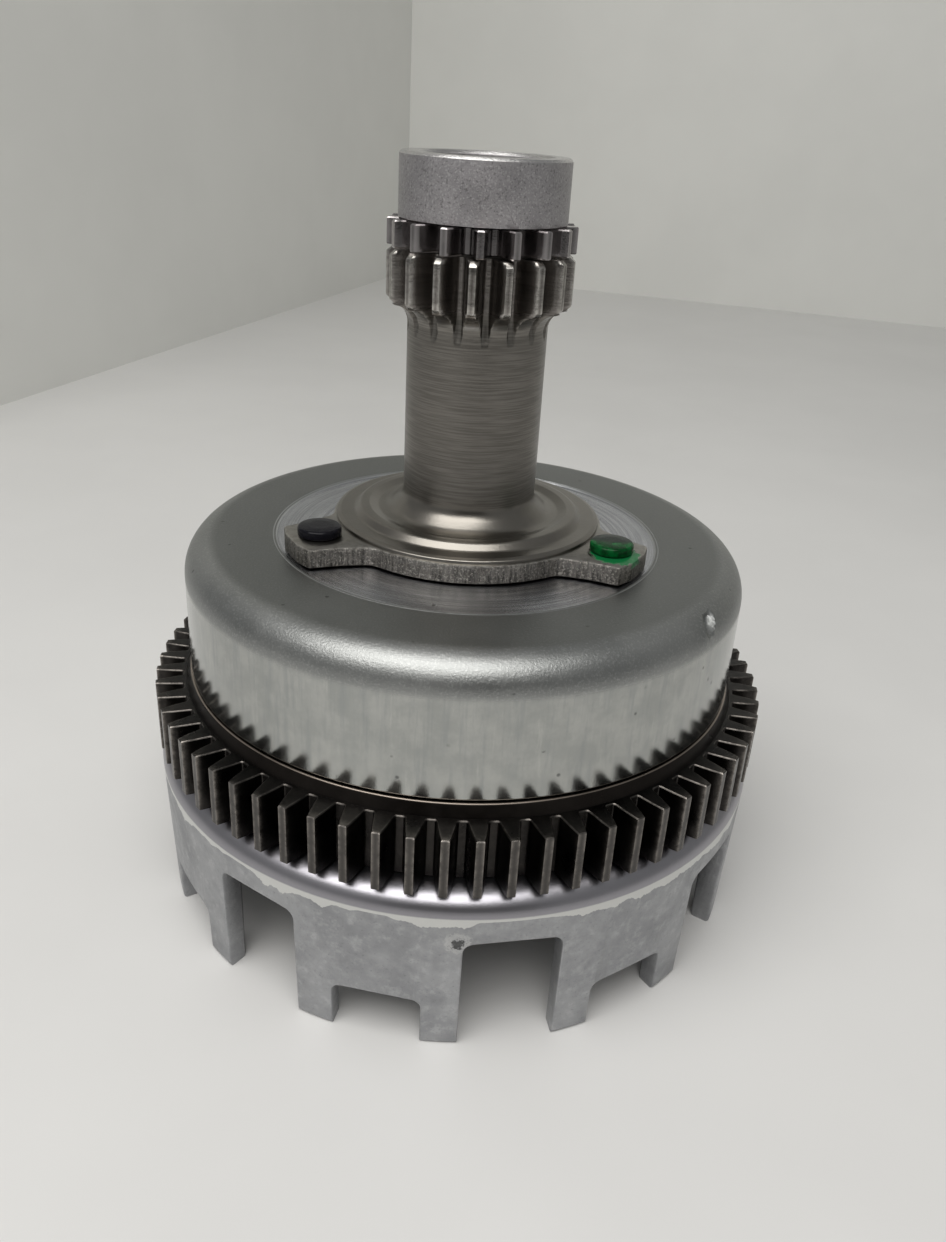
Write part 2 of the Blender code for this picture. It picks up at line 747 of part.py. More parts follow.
def clutch_rivet(name, azimuth):
    """Rivet through the basket's disc, its boss and the side plate."""
    heights = (
        DISC_LOW_Z - CLEARANCE - RIVET_HEAD_HEIGHT,
        DISC_LOW_Z - CLEARANCE,
        PLATE_HIGH_Z + CLEARANCE,
        PLATE_HIGH_Z + CLEARANCE + RIVET_HEAD_HEIGHT,
    )
    return rivet(name, azimuth, RIVET_RING_R, RIVET_SHANK_R, RIVET_HEAD_R, heights, rivet_steel())


def sub_gear():
    """Thin gear above the pinion, with the same teeth set a little off them."""
    profile = [
        (SUB_BORE_R, SUB_LOW_Z),
        (PINION_TIP_R, SUB_LOW_Z),
        (PINION_TIP_R, SUB_HIGH_Z - SUB_CHAMFER),
        (PINION_TIP_R - SUB_CHAMFER, SUB_HIGH_Z),
        (SUB_BORE_R, SUB_HIGH_Z),
    ]
    bm = bmesh.new()
    add_turning(bm, profile, PINION_TEETH * SHAFT_SEGMENTS_PER_TOOTH, SUB_TOOTH_AZIMUTH)
    gear = new_object("sub_gear", bm)
    gaps = bmesh.new()
    levels = ((SUB_LOW_Z - CUT_PAST, 0.0), (SUB_HIGH_Z + CUT_PAST, 0.0))
    add_tooth_gaps(
        gaps, PINION_TEETH, SUB_TOOTH_AZIMUTH, PINION_TIP_R, PINION_ROOT_R, PINION_LAND,
        PINION_ROOT_GAP, levels,
    )
    combine(gear, gaps, "DIFFERENCE")
    return finish_part(gear, sub_gear_steel())


def sub_gear_spring():
    """Open ring spring in the journal's groove."""
    low_z = GROOVE_LOW_Z + RING_SPRING_SIDE_GAP
    high_z = GROOVE_HIGH_Z - RING_SPRING_SIDE_GAP
    section = (
        (RING_SPRING_INNER_R, low_z),
        (RING_SPRING_OUTER_R, low_z),
        (RING_SPRING_OUTER_R, high_z),
        (RING_SPRING_INNER_R, high_z),
    )
    rings = []
    for i in range(RING_SPRING_STEPS + 1):
        azimuth = RING_SPRING_GAP_DEG / 2.0 + (360.0 - RING_SPRING_GAP_DEG) * i / RING_SPRING_STEPS
        rings.append([spot(azimuth, radius, z) for radius, z in section])
    bm = bmesh.new()
    add_loft(bm, rings, closed=False)
    return finish_part(new_object("sub_gear_spring", bm), spring_steel())


def build():
    """Clears the scene and builds every part."""
    for old in list(bpy.data.objects):
        bpy.data.objects.remove(old)
    clutch_outer()
    sleeve(
        "hub_bush", HUB_BUSH_R, HUB_BUSH_BORE_R, HUB_BUSH_LOW_Z, HUB_BUSH_TOP_Z,
        BUSH_CHAMFER, bush_bronze())
    for number, azimuth in enumerate(spring_azimuths(), start=1):
        damper_spring(f"damper_spring_{number}", azimuth)
    side_plate()
    for number, azimuth in enumerate(rivet_azimuths(), start=1):
        clutch_rivet(f"clutch_rivet_{number}", azimuth)
    primary_driven_gear()
    clutch_drum()
    primary_drive_gear()
    drum_rivet("drum_rivet_black", EAR_AZIMUTHS[0], black_paint())
    drum_rivet("drum_rivet_green", EAR_AZIMUTHS[1], green_paint())
    drum_rivet("drum_rivet_rear", EAR_AZIMUTHS[2], rivet_steel())
    sub_gear()
    sub_gear_spring()
    sleeve(
        "end_collar", COLLAR_R, COLLAR_BORE_R, COLLAR_LOW_Z, COLLAR_HIGH_Z, COLLAR_CHAMFER,
        collar_steel())
    sleeve("shaft_bush_lower", BUSH_R, BUSH_BORE_R, *LOWER_BUSH_Z, BUSH_CHAMFER, bush_bronze())
    sleeve("shaft_bush_upper", BUSH_R, BUSH_BORE_R, *UPPER_BUSH_Z, BUSH_CHAMFER, bush_bronze())


build()
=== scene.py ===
import math

import bmesh
import bpy
from mathutils import Matrix, Vector


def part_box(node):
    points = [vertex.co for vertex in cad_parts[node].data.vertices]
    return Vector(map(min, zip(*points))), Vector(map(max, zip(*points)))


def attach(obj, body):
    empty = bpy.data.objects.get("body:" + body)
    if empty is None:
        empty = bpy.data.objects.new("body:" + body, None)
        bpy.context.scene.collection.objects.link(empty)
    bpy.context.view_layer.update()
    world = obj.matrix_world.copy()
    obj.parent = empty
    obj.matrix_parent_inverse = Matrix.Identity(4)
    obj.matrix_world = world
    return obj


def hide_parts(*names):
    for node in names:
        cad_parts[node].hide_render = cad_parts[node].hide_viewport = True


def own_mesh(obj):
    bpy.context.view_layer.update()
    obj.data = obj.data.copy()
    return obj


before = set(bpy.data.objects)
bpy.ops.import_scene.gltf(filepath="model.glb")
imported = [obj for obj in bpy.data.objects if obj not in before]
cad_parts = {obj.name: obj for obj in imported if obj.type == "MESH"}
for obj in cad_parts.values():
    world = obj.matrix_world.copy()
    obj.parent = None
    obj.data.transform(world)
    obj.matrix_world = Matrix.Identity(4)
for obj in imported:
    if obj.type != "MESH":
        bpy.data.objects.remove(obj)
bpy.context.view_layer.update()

# Lengths below are in millimetres, azimuths in degrees from -Y towards +X.
MM = 0.001


def heights(node):
    """Lowest and highest point of a CAD node."""
    low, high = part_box(node)
    return low.z / MM, high.z / MM


def reach(node):
    """Largest distance of a CAD node from the axis, from its box."""
    low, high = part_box(node)
    return max(-low.x, high.x, -low.y, high.y) / MM


GEAR_LOW, LIP_Z = heights("primary_driven_gear")
GEAR_TIP_R = reach("primary_driven_gear")
DRUM_RIM, DRUM_TOP = heights("clutch_drum")
DRUM_R = reach("clutch_drum")
SHAFT_LOW, SHAFT_TOP = heights("primary_drive_gear")
SUB_LOW, SUB_HIGH = heights("sub_gear")
COLLAR_LOW, COLLAR_HIGH = heights("end_collar")
COLLAR_R = reach("end_collar")
PLATE_LOW, PLATE_HIGH = heights("side_plate")


# ---------------------------------------------------------------- shapes
def spot(azimuth, radius, z=0.0):
    """Point at an azimuth, a radius and a height."""
    angle = math.radians(azimuth)
    return Vector((radius * math.sin(angle), -radius * math.cos(angle), z))


def rounded(points, steps=4, closed=True):
    """Rounds the corners of an outline whose points are (x, y, corner radius)."""
    done = []
    count = len(points)
    for i, (x, y, radius) in enumerate(points):
        here = Vector((x, y))
        if radius <= 0 or (not closed and i in (0, count - 1)):
            done.append((x, y))
            continue
        before = Vector(points[i - 1][:2]) - here
        after = Vector(points[(i + 1) % count][:2]) - here
        half = before.angle(after) / 2
        cut = min(radius / math.tan(half), 0.49 * before.length, 0.49 * after.length)
        radius = cut * math.tan(half)
        bisector = before.normalized() + after.normalized()
        if bisector.length < 1e-6:
            done.append((x, y))
            continue
        centre = here + bisector.normalized() * (radius / math.sin(half))
        start = here + before.normalized() * cut - centre
        end = here + after.normalized() * cut - centre
        first = math.atan2(start.y, start.x)
        turn = (math.atan2(end.y, end.x) - first + math.pi) % (2 * math.pi) - math.pi
        for k in range(steps + 1):
            angle = first + turn * k / steps
            done.append((centre.x + radius * math.cos(angle), centre.y + radius * math.sin(angle)))
    return done


def mesh_object(name, verts, faces, edge=None):
    """Closed body from points in millimetres; edge is a value per point for bright edges, partly rubbed
    metal and partly painted glint.
    """
    mesh = bpy.data.meshes.new(name)
    mesh.from_pydata([tuple(c * MM for c in v) for v in verts], [], faces)
    if edge is not None:
        mesh.attributes.new("edge", "FLOAT", "POINT").data.foreach_set("value", edge)
    bm = bmesh.new()
    bm.from_mesh(mesh)
    bmesh.ops.recalc_face_normals(bm, faces=bm.faces)
    if bm.calc_volume(signed=True) < 0:
        bmesh.ops.reverse_faces(bm, faces=bm.faces)
    bm.to_mesh(mesh)
    bm.free()
    made = bpy.data.objects.new(name, mesh)
    bpy.context.scene.collection.objects.link(made)
    return made


def columns_body(name, columns, edge=None):
    """Body swept round the axis; every column is a closed loop of the same number of points."""
    count, size = len(columns), len(columns[0])
    verts = [p for column in columns for p in column]
    faces = []
    for i in range(count):
        j = (i + 1) % count
        for k in range(size):
            m = (k + 1) % size
            faces.append((i * size + k, j * size + k, j * size + m, i * size + m))
    return mesh_object(name, verts, faces, edge)


def turned(name, profile, segments=192, azimuths=None):
    """Body turned from a closed (radius, height) profile."""
    azimuths = azimuths or [360.0 * i / segments for i in range(segments)]
    return columns_body(name, [[spot(a, r, z) for r, z in profile] for a in azimuths])


def rod(name, rings):
    """Body lofted through rings, with a point at the middle of each end cap."""
    size = len(rings[0])
    verts = [p for ring in rings for p in ring]
    faces = []
    for i in range(len(rings) - 1):
        for k in range(size):
            m = (k + 1) % size
            faces.append((i * size + k, i * size + m, (i + 1) * size + m, (i + 1) * size + k))
    for start in (0, (len(rings) - 1) * size):
        middle = sum((Vector(verts[start + k]) for k in range(size)), Vector()) / size
        verts.append(middle)
        for k in range(size):
            faces.append((start + k, start + (k + 1) % size, len(verts) - 1))
    return mesh_object(name, verts, faces)


def combine(target, tool, operation):
    """Adds a tool body to a solid or takes it away, and removes the tool."""
    modifier = target.modifiers.new("combine", "BOOLEAN")
    modifier.operation = operation
    modifier.solver = "EXACT"
    modifier.object = tool
    shape = bpy.data.meshes.new_from_object(
        target.evaluated_get(bpy.context.evaluated_depsgraph_get()))
    target.modifiers.clear()
    old = target.data
    target.data = shape
    bpy.data.meshes.remove(old)
    bpy.data.objects.remove(tool)


def join(objects):
    """Makes one piece of several bodies."""
    bm = bmesh.new()
    for obj in objects:
        bm.from_mesh(obj.data)
    bm.to_mesh(objects[0].data)
    bm.free()
    for obj in objects[1:]:
        bpy.data.objects.remove(obj)
    return objects[0]


def finish(piece, body, nodes, material, smooth=38.0):
    """Shades a piece, gives it its material and hangs it on its CAD body."""
    piece.data.shade_smooth()
    piece.data.set_sharp_from_angle(angle=math.radians(smooth))
    piece.data.materials.clear()
    piece.data.materials.append(material)
    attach(piece, body)
    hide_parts(*nodes)
    return piece


# ---------------------------------------------------------------- materials
class Paint:
    """Short ways to build one Principled material."""

    def __init__(self, name):
        self.material = bpy.data.materials.new(name)
        self.material.use_nodes = True
        self.nodes = self.material.node_tree.nodes
        self.links = self.material.node_tree.links
        self.shader = self.nodes["Principled BSDF"]
        coords = self.nodes.new("ShaderNodeTexCoord")
        self.place = self.scale(coords.outputs["Object"], 1000.0)
        split = self.nodes.new("ShaderNodeSeparateXYZ")
        self.links.new(self.place, split.inputs[0])
        self.x, self.y, self.z = split.outputs
        flat = self.math("ADD", self.math("MULTIPLY", self.x, self.x), self.math("MULTIPLY", self.y, self.y))
        self.r = self.math("SQRT", flat)
        normal = self.nodes.new("ShaderNodeSeparateXYZ")
        self.links.new(coords.outputs["Normal"], normal.inputs[0])
        self.up = normal.outputs[2]

    def put(self, socket, value):
        if isinstance(value, bpy.types.NodeSocket):
            self.links.new(value, socket)
        else:
            socket.default_value = value

    def scale(self, vector, factor):
        node = self.nodes.new("ShaderNodeVectorMath")
        node.operation = "SCALE"
        self.put(node.inputs[0], vector)
        node.inputs["Scale"].default_value = factor
        return node.outputs[0]

    def math(self, operation, a, b=0.0, c=0.0, clamp=False):
        node = self.nodes.new("ShaderNodeMath")
        node.operation = operation
        node.use_clamp = clamp
        self.put(node.inputs[0], a)
        self.put(node.inputs[1], b)
        self.put(node.inputs[2], c)
        return node.outputs[0]

    def length(self, a, b):
        """Length of a two-part offset."""
        return self.math("SQRT", self.math("ADD", self.math("MULTIPLY", a, a), self.math("MULTIPLY", b, b)))

    def vector(self, x, y, z):
        node = self.nodes.new("ShaderNodeCombineXYZ")
        for socket, value in zip(node.inputs, (x, y, z)):
            self.put(socket, value)
        return node.outputs[0]

    def rim(self, around, along_r, along_z):
        """Cylinder coordinates: stretched round the axis when around is small."""
        safe = self.math("MAXIMUM", self.r, 0.001)
        ux = self.math("MULTIPLY", self.math("DIVIDE", self.x, safe), around)
        uy = self.math("MULTIPLY", self.math("DIVIDE", self.y, safe), around)
        lengthwise = self.math("ADD", self.math("MULTIPLY", self.z, along_z),
                               self.math("MULTIPLY", self.r, along_r))
        return self.vector(ux, uy, lengthwise)

    def noise(self, vector, scale, detail=3.0, rough=0.55):
        node = self.nodes.new("ShaderNodeTexNoise")
        self.put(node.inputs["Vector"], vector)
        node.inputs["Scale"].default_value = scale
        node.inputs["Detail"].default_value = detail
        node.inputs["Roughness"].default_value = rough
        return node.outputs[0]

    def span(self, value, low, high, to_low=0.0, to_high=1.0, smooth=True):
        """Maps low..high to to_low..to_high, clamped."""
        node = self.nodes.new("ShaderNodeMapRange")
        node.interpolation_type = "SMOOTHSTEP" if smooth else "LINEAR"
        self.put(node.inputs["Value"], value)
        for key, number in zip(("From Min", "From Max", "To Min", "To Max"), (low, high, to_low, to_high)):
            self.put(node.inputs[key], number)
        return node.outputs[0]

    def band(self, value, start, end, soft):
        """One between start and end, nought outside."""
        rise = self.span(value, start - soft, start + soft)
        fall = self.span(value, end - soft, end + soft, 1.0, 0.0)
        return self.math("MULTIPLY", rise, fall)

    def mix(self, factor, a, b):
        """Blends two colours."""
        node = self.nodes.new("ShaderNodeMix")
        node.data_type = "RGBA"
        self.put(node.inputs["Factor"], factor)
        colour_a, colour_b = node.inputs[6], node.inputs[7]
        for socket, value in ((colour_a, a), (colour_b, b)):
            if isinstance(value, tuple):
                socket.default_value = (*value, 1.0)
            else:
                self.links.new(value, socket)
        return node.outputs[2]

    def blend(self, factor, a, b):
        """Blends two numbers."""
        node = self.nodes.new("ShaderNodeMix")
        self.put(node.inputs[0], factor)
        self.put(node.inputs[2], a)
        self.put(node.inputs[3], b)
        return node.outputs[0]

    def attribute(self, name):
        node = self.nodes.new("ShaderNodeAttribute")
        node.attribute_name = name
        return node.outputs["Fac"]

    def bump(self, height, strength, distance, before=None):
        """Bump from a height; distance is in millimetres."""
        node = self.nodes.new("ShaderNodeBump")
        self.put(node.inputs["Strength"], strength)
        node.inputs["Distance"].default_value = distance * MM
        self.put(node.inputs["Height"], height)
        if before is not None:
            self.links.new(before, node.inputs["Normal"])
        return node.outputs[0]

    def set(self, colour=None, rough=None, metallic=None, normal=None, **fixed):
        if colour is not None:
            if isinstance(colour, tuple):
                self.shader.inputs["Base Color"].default_value = (*colour, 1.0)
            else:
                self.links.new(colour, self.shader.inputs["Base Color"])
        if rough is not None:
            self.put(self.shader.inputs["Roughness"], rough)
        if metallic is not None:
            self.put(self.shader.inputs["Metallic"], metallic)
        if normal is not None:
            self.links.new(normal, self.shader.inputs["Normal"])
        for key, value in fixed.items():
            self.shader.inputs[key.replace("_", " ")].default_value = value
        return self.material


def cast_aluminium():
    """Mottled die casting, shiny and turned on its shoulder, with ragged flash under the parting line and
    painted shade inside.
    """
    p = Paint("cast_aluminium")
    cloud = p.noise(p.place, 0.10, 5.0, 0.62)
    patch = p.noise(p.place, 0.42, 5.0, 0.68)
    grain = p.noise(p.place, 1.9, 4.0, 0.7)
    flow = p.noise(p.rim(9.0, 0.0, 0.10), 1.6, 5.0, 0.66)
    colour = p.mix(p.span(cloud, 0.35, 0.65), (0.335, 0.34, 0.352), (0.42, 0.425, 0.437))
    colour = p.mix(p.span(patch, 0.50, 0.74, 0.0, 0.5), colour, (0.55, 0.555, 0.56))
    colour = p.mix(p.span(flow, 0.50, 0.75, 0.0, 0.4), colour, (0.27, 0.275, 0.288))
    colour = p.mix(p.span(grain, 0.30, 0.42, 0.45, 0.0), colour, (0.20, 0.205, 0.215))
    # Painted shade: the inner face of the wall and the hollow under the floor disc are painted darker.
    inside = p.math("MULTIPLY", p.span(p.r, 56.9, 57.6, 1.0, 0.0), p.span(p.z, 30.5, 31.0, 1.0, 0.0))
    colour = p.mix(p.math("MULTIPLY", inside, 0.65), colour, (0.10, 0.10, 0.105))
    outer = p.span(p.r, 56.0, 57.0)
    shine = p.math("MULTIPLY", p.span(p.z, 29.8, 30.3), outer)
    ragged = p.noise(p.rim(16.0, 0.0, 0.15), 1.0, 4.0, 0.65)
    present = p.noise(p.rim(3.2, 0.0, 0.0), 1.0, 3.0, 0.6)
    drop = p.span(ragged, 0.30, 0.70, 0.5, 2.3, smooth=False)
    depth = p.math("MULTIPLY", p.span(present, 0.42, 0.60), drop)
    flash_low = p.math("SUBTRACT", 29.45, depth)
    flash = p.math("MULTIPLY", p.math("GREATER_THAN", p.z, flash_low), p.span(p.z, 29.9, 30.2, 1.0, 0.0))
    flash = p.math("MULTIPLY", flash, outer)
    colour = p.mix(p.math("MULTIPLY", shine, 0.85), colour, (0.34, 0.33, 0.36))
    colour = p.mix(p.math("MULTIPLY", flash, 0.85), colour, (0.80, 0.80, 0.78))
    spot_x = p.math("SUBTRACT", p.x, 2.6)
    spot_z = p.math("SUBTRACT", p.z, 24.6)
    away = p.length(spot_x, spot_z)
    away = p.math("ADD", away, p.math("MULTIPLY", p.math("SUBTRACT", grain, 0.5), 4.5))
    front = p.math("LESS_THAN", p.y, -50.0)
    pore = p.math("MULTIPLY", p.span(away, 0.6, 1.3, 1.0, 0.0), front)
    halo = p.math("MULTIPLY", p.band(away, 1.3, 2.2, 0.3), front)
    colour = p.mix(p.math("MULTIPLY", halo, 0.5), colour, (0.62, 0.62, 0.61))
    colour = p.mix(p.math("MULTIPLY", pore, 0.85), colour, (0.07, 0.07, 0.07))
    lines = p.noise(p.rim(0.6, 4.0, 4.0), 1.0, 2.0, 0.5)
    rough = p.blend(shine, p.span(patch, 0.3, 0.7, 0.58, 0.44), 0.32)
    rough = p.blend(flash, rough, 0.7)
    height = p.math("ADD", p.math("MULTIPLY", grain, 0.6), p.math("MULTIPLY", patch, 0.9))
    height = p.math("SUBTRACT", height, p.math("MULTIPLY", pore, 1.8))
    height = p.math("ADD", height, p.math("MULTIPLY", flash, 0.5))
    normal = p.bump(height, p.blend(shine, 0.42, 0.07), 0.28)
    normal = p.bump(lines, p.math("MULTIPLY", shine, 0.2), 0.05, normal)
    return p.set(colour, rough, 1.0, normal)


def gear_steel():
    """Nearly black oiled gear steel; its fine bright edges are partly rubbed bright and partly painted
    glints, and a painted highlight runs round the lip's edge.
    """
    p = Paint("dark_gear_steel")
    cloud = p.noise(p.place, 0.14, 4.0, 0.6)
    grain = p.noise(p.place, 2.6, 3.0, 0.6)
    lines = p.noise(p.rim(0.5, 3.5, 3.5), 1.0, 2.0, 0.6)
    hobbed = p.noise(p.vector(p.x, p.y, p.math("MULTIPLY", p.z, 0.08)), 3.0, 2.0, 0.6)
    colour = p.mix(p.span(cloud, 0.3, 0.7), (0.016, 0.0150, 0.0145), (0.034, 0.031, 0.029))
    colour = p.mix(p.span(grain, 0.50, 0.75, 0.0, 0.35), colour, (0.065, 0.060, 0.056))
    land = p.span(p.r, GEAR_TIP_R - 0.25, GEAR_TIP_R - 0.05)
    colour = p.mix(p.math("MULTIPLY", land, 0.75), colour, (0.085, 0.080, 0.076))
    high = p.span(p.z, 45.5, 46.8)
    ring = p.math("MULTIPLY", p.band(p.r, 50.2, 56.2, 0.15), high)
    colour = p.mix(p.math("MULTIPLY", ring, 0.7), colour, (0.030, 0.025, 0.022))
    # Painted highlight: a bright band painted along the rounded outer edge of the lip.
    glint = p.math("MULTIPLY", p.band(p.r, 54.95, 55.25, 0.08), p.span(p.z, 48.2, 48.5))
    colour = p.mix(p.math("MULTIPLY", glint, 0.9), colour, (0.42, 0.36, 0.31))
    # Bright edges from the edge value: partly rubbed metal, partly painted glints along the tooth edges.
    narrow = p.math("POWER", p.attribute("edge"), 6.0)
    wear_and_painted_glint = p.math("MULTIPLY", narrow, p.span(p.noise(p.place, 0.7, 4.0, 0.7), 0.35, 0.62, 0.25, 1.0))
    colour = p.mix(wear_and_painted_glint, colour, (0.36, 0.33, 0.30))
    rough = p.span(cloud, 0.3, 0.7, 0.26, 0.38)
    rough = p.blend(wear_and_painted_glint, rough, 0.22)
    normal = p.bump(grain, 0.16, 0.06)
    normal = p.bump(hobbed, p.math("MULTIPLY", land, 0.3), 0.08, normal)
    normal = p.bump(lines, 0.12, 0.05, normal)
    return p.set(colour, rough, 1.0, normal)


def drum_steel():
    """Satin drum: grainy shoulder, streaked bright wall, a turned recess under the flange, painted shade on
    the flat top and a painted highlight on the double ring round the recess.
    """
    p = Paint("drum_steel")
    cloud = p.noise(p.place, 0.06, 4.0, 0.6)
    grain = p.noise(p.place, 2.3, 3.0, 0.7)
    streak = p.noise(p.rim(46.0, 0.0, 0.07), 1.0, 5.0, 0.66)
    blotch = p.noise(p.rim(11.0, 0.0, 0.20), 1.0, 5.0, 0.65)
    wall = p.span(p.z, 69.2, 67.4)
    wall = p.math("MULTIPLY", wall, p.span(p.r, 52.8, 53.5))
    base = p.mix(p.span(cloud, 0.3, 0.7), (0.27, 0.277, 0.272), (0.32, 0.326, 0.32))
    base = p.mix(p.span(grain, 0.48, 0.72, 0.0, 0.45), base, (0.50, 0.505, 0.50))
    wall_colour = p.mix(p.span(blotch, 0.34, 0.68), (0.37, 0.38, 0.365), (0.45, 0.455, 0.435))
    wall_colour = p.mix(p.span(streak, 0.46, 0.70, 0.0, 0.55), wall_colour, (0.31, 0.325, 0.325))
    wall_colour = p.mix(p.span(streak, 0.28, 0.42, 0.35, 0.0), wall_colour, (0.56, 0.56, 0.53))
    # Painted shade: the flat top between the recess and the shoulder is painted darker, standing in for a
    # dark reflection.
    painted_dark_top = p.math("MULTIPLY", p.span(p.z, 74.3, 74.7), p.span(p.r, 48.5, 51.0, 1.0, 0.0))
    base = p.mix(p.math("MULTIPLY", painted_dark_top, 0.55), base, (0.16, 0.168, 0.162))
    colour = p.mix(wall, base, wall_colour)
    high = p.span(p.z, 73.6, 74.2)
    recess = p.math("MULTIPLY", p.span(p.r, 37.2, 37.5, 1.0, 0.0), high)
    marks = p.noise(p.rim(0.5, 2.6, 0.0), 1.0, 3.0, 0.75)
    sweep = p.noise(p.rim(3.0, 0.5, 0.0), 1.0, 2.0, 0.6)
    recess_colour = p.mix(p.span(marks, 0.35, 0.65), (0.35, 0.36, 0.385), (0.60, 0.61, 0.645))
    recess_colour = p.mix(p.span(sweep, 0.4, 0.65, 0.0, 0.4), recess_colour, (0.33, 0.34, 0.37))
    colour = p.mix(recess, colour, recess_colour)
    # Painted highlight: a bright double ring painted along the lip round the recess.
    line = p.math("MAXIMUM", p.band(p.r, 37.35, 37.6, 0.07), p.band(p.r, 37.95, 38.12, 0.07))
    line = p.math("MULTIPLY", line, high)
    colour = p.mix(p.math("MULTIPLY", line, 0.6), colour, (0.66, 0.67, 0.69))
    cells = p.nodes.new("ShaderNodeTexVoronoi")
    cells.inputs["Scale"].default_value = 0.22
    p.links.new(p.place, cells.inputs["Vector"])
    pit = p.span(cells.outputs["Distance"], 0.05, 0.11, 1.0, 0.0)
    pit = p.math("MULTIPLY", pit, p.span(p.noise(p.place, 0.12), 0.5, 0.56))
    colour = p.mix(p.math("MULTIPLY", pit, 0.7), colour, (0.08, 0.08, 0.08))
    rough = p.span(cloud, 0.3, 0.7, 0.38, 0.44)
    rough = p.blend(wall, rough, p.span(blotch, 0.3, 0.7, 0.12, 0.19))
    rough = p.blend(recess, rough, 0.22)
    height = p.math("ADD", grain, p.math("MULTIPLY", pit, -1.0))
    normal = p.bump(height, p.blend(wall, 0.5, 0.07), 0.12)
    normal = p.bump(marks, p.math("MULTIPLY", recess, 0.8), 0.10, normal)
    normal = p.bump(streak, p.math("MULTIPLY", wall, 0.10), 0.10, normal)
    return p.set(colour, rough, 1.0, normal)


def shaft_steel():
    """Forged and ground shaft: satin boss, lined tube, milled teeth and a sheared flange edge."""
    p = Paint("shaft_steel")
    cloud = p.noise(p.place, 0.10, 4.0, 0.6)
    grain = p.noise(p.place, 2.6, 3.0, 0.65)
    lines = p.noise(p.rim(1.6, 0.0, 4.6), 1.0, 2.0, 0.6)
    wobble = p.noise(p.rim(5.0, 0.0, 2.2), 1.0, 3.0, 0.7)
    tube = p.band(p.z, 84.0, 118.5, 0.8)
    teeth = p.span(p.z, 118.0, 119.5)
    boss = p.span(p.z, 83.5, 84.5, 1.0, 0.0)
    colour = p.mix(p.span(cloud, 0.3, 0.7), (0.20, 0.187, 0.168), (0.255, 0.238, 0.215))
    lined = p.mix(p.span(lines, 0.36, 0.64), (0.150, 0.141, 0.127), (0.235, 0.222, 0.202))
    colour = p.mix(p.math("MULTIPLY", tube, 0.8), colour, lined)
    colour = p.mix(p.math("MULTIPLY", boss, 0.5), colour, (0.20, 0.19, 0.170))
    milled = p.mix(p.span(wobble, 0.35, 0.65), (0.155, 0.142, 0.132), (0.27, 0.252, 0.238))
    colour = p.mix(p.math("MULTIPLY", teeth, 0.85), colour, milled)
    side = p.span(p.math("ABSOLUTE", p.up), 0.3, 0.6, 1.0, 0.0)
    outside = p.math("MULTIPLY", p.span(p.z, 78.45, 78.75, 1.0, 0.0), p.span(p.r, 25.9, 26.1))
    rim = p.math("MULTIPLY", side, outside)
    upright = p.vector(p.x, p.y, p.math("MULTIPLY", p.z, 0.12))
    shear = p.noise(upright, 1.5, 3.0, 0.7)
    sparkle = p.noise(p.place, 2.6, 3.0, 0.75)
    sheared = p.mix(p.span(shear, 0.36, 0.64), (0.060, 0.056, 0.051), (0.215, 0.198, 0.178))
    sheared = p.mix(p.span(sparkle, 0.50, 0.66, 0.0, 0.85), sheared, (0.52, 0.49, 0.43))
    colour = p.mix(rim, colour, sheared)
    # Bright edges on the pinion's teeth and the flange's bevel: partly rubbed metal, partly painted glints.
    patchy = p.span(p.noise(p.place, 0.9, 3.0, 0.6), 0.35, 0.6, 0.4, 1.0)
    wear_and_painted_glint = p.math("MULTIPLY", p.attribute("edge"), patchy)
    colour = p.mix(wear_and_painted_glint, colour, (0.66, 0.64, 0.60))
    smear_x = p.math("SUBTRACT", p.x, 27.6)
    smear_y = p.math("SUBTRACT", p.y, -17.4)
    ragged = p.math("SUBTRACT", p.noise(p.place, 0.9, 3.0), 0.5)
    smear_d = p.math("ADD", p.length(smear_x, smear_y), p.math("MULTIPLY", ragged, 3.0))
    smear = p.math("MULTIPLY", p.span(smear_d, 4.3, 4.9, 1.0, 0.0), p.band(p.z, 77.5, 79.0, 0.2))
    colour = p.mix(smear, colour, (0.006, 0.12, 0.035))
    rough = p.span(cloud, 0.3, 0.7, 0.31, 0.39)
    rough = p.blend(boss, rough, 0.28)
    rough = p.blend(rim, rough, 0.36)
    rough = p.blend(teeth, rough, 0.27)
    rough = p.blend(smear, rough, 0.12)
    normal = p.bump(grain, 0.30, 0.08)
    normal = p.bump(lines, p.math("MULTIPLY", tube, 0.35), 0.07, normal)
    normal = p.bump(wobble, p.math("MULTIPLY", teeth, 0.35), 0.08, normal)
    normal = p.bump(shear, p.math("MULTIPLY", rim, 0.9), 0.30, normal)
    normal = p.bump(sparkle, p.math("MULTIPLY", rim, 0.8), 0.15, normal)
    return p.set(colour, rough, p.blend(smear, 1.0, 0.0), normal)


def simple_metal(name, dark, light, rough, size=0.15, grain_size=4.0, grain_bump=0.15, lines=0.0):
    """Metal with slow colour change, fine grain and optional turning lines."""
    p = Paint(name)
    cloud = p.noise(p.place, size, 4.0, 0.6)
    grain = p.noise(p.place, grain_size, 3.0, 0.6)
    turn = p.noise(p.rim(0.7, 5.0, 5.0), 1.0, 2.0, 0.6)
    colour = p.mix(p.span(cloud, 0.32, 0.68), dark, light)
    colour = p.mix(p.span(grain, 0.5, 0.75, 0.0, 0.25), colour, tuple(min(1.0, c * 1.6) for c in light))
    # Bright edges from the edge value, which only the sub gear has: partly rubbed metal, partly painted
    # glints.
    wear_and_painted_glint = p.attribute("edge")
    colour = p.mix(wear_and_painted_glint, colour, tuple(min(1.0, c * 2.0) for c in light))
    normal = p.bump(grain, grain_bump, 0.06)
    normal = p.bump(turn, lines, 0.05, normal)
    return p.set(colour, p.span(cloud, 0.3, 0.7, rough - 0.04, rough + 0.05), 1.0, normal)


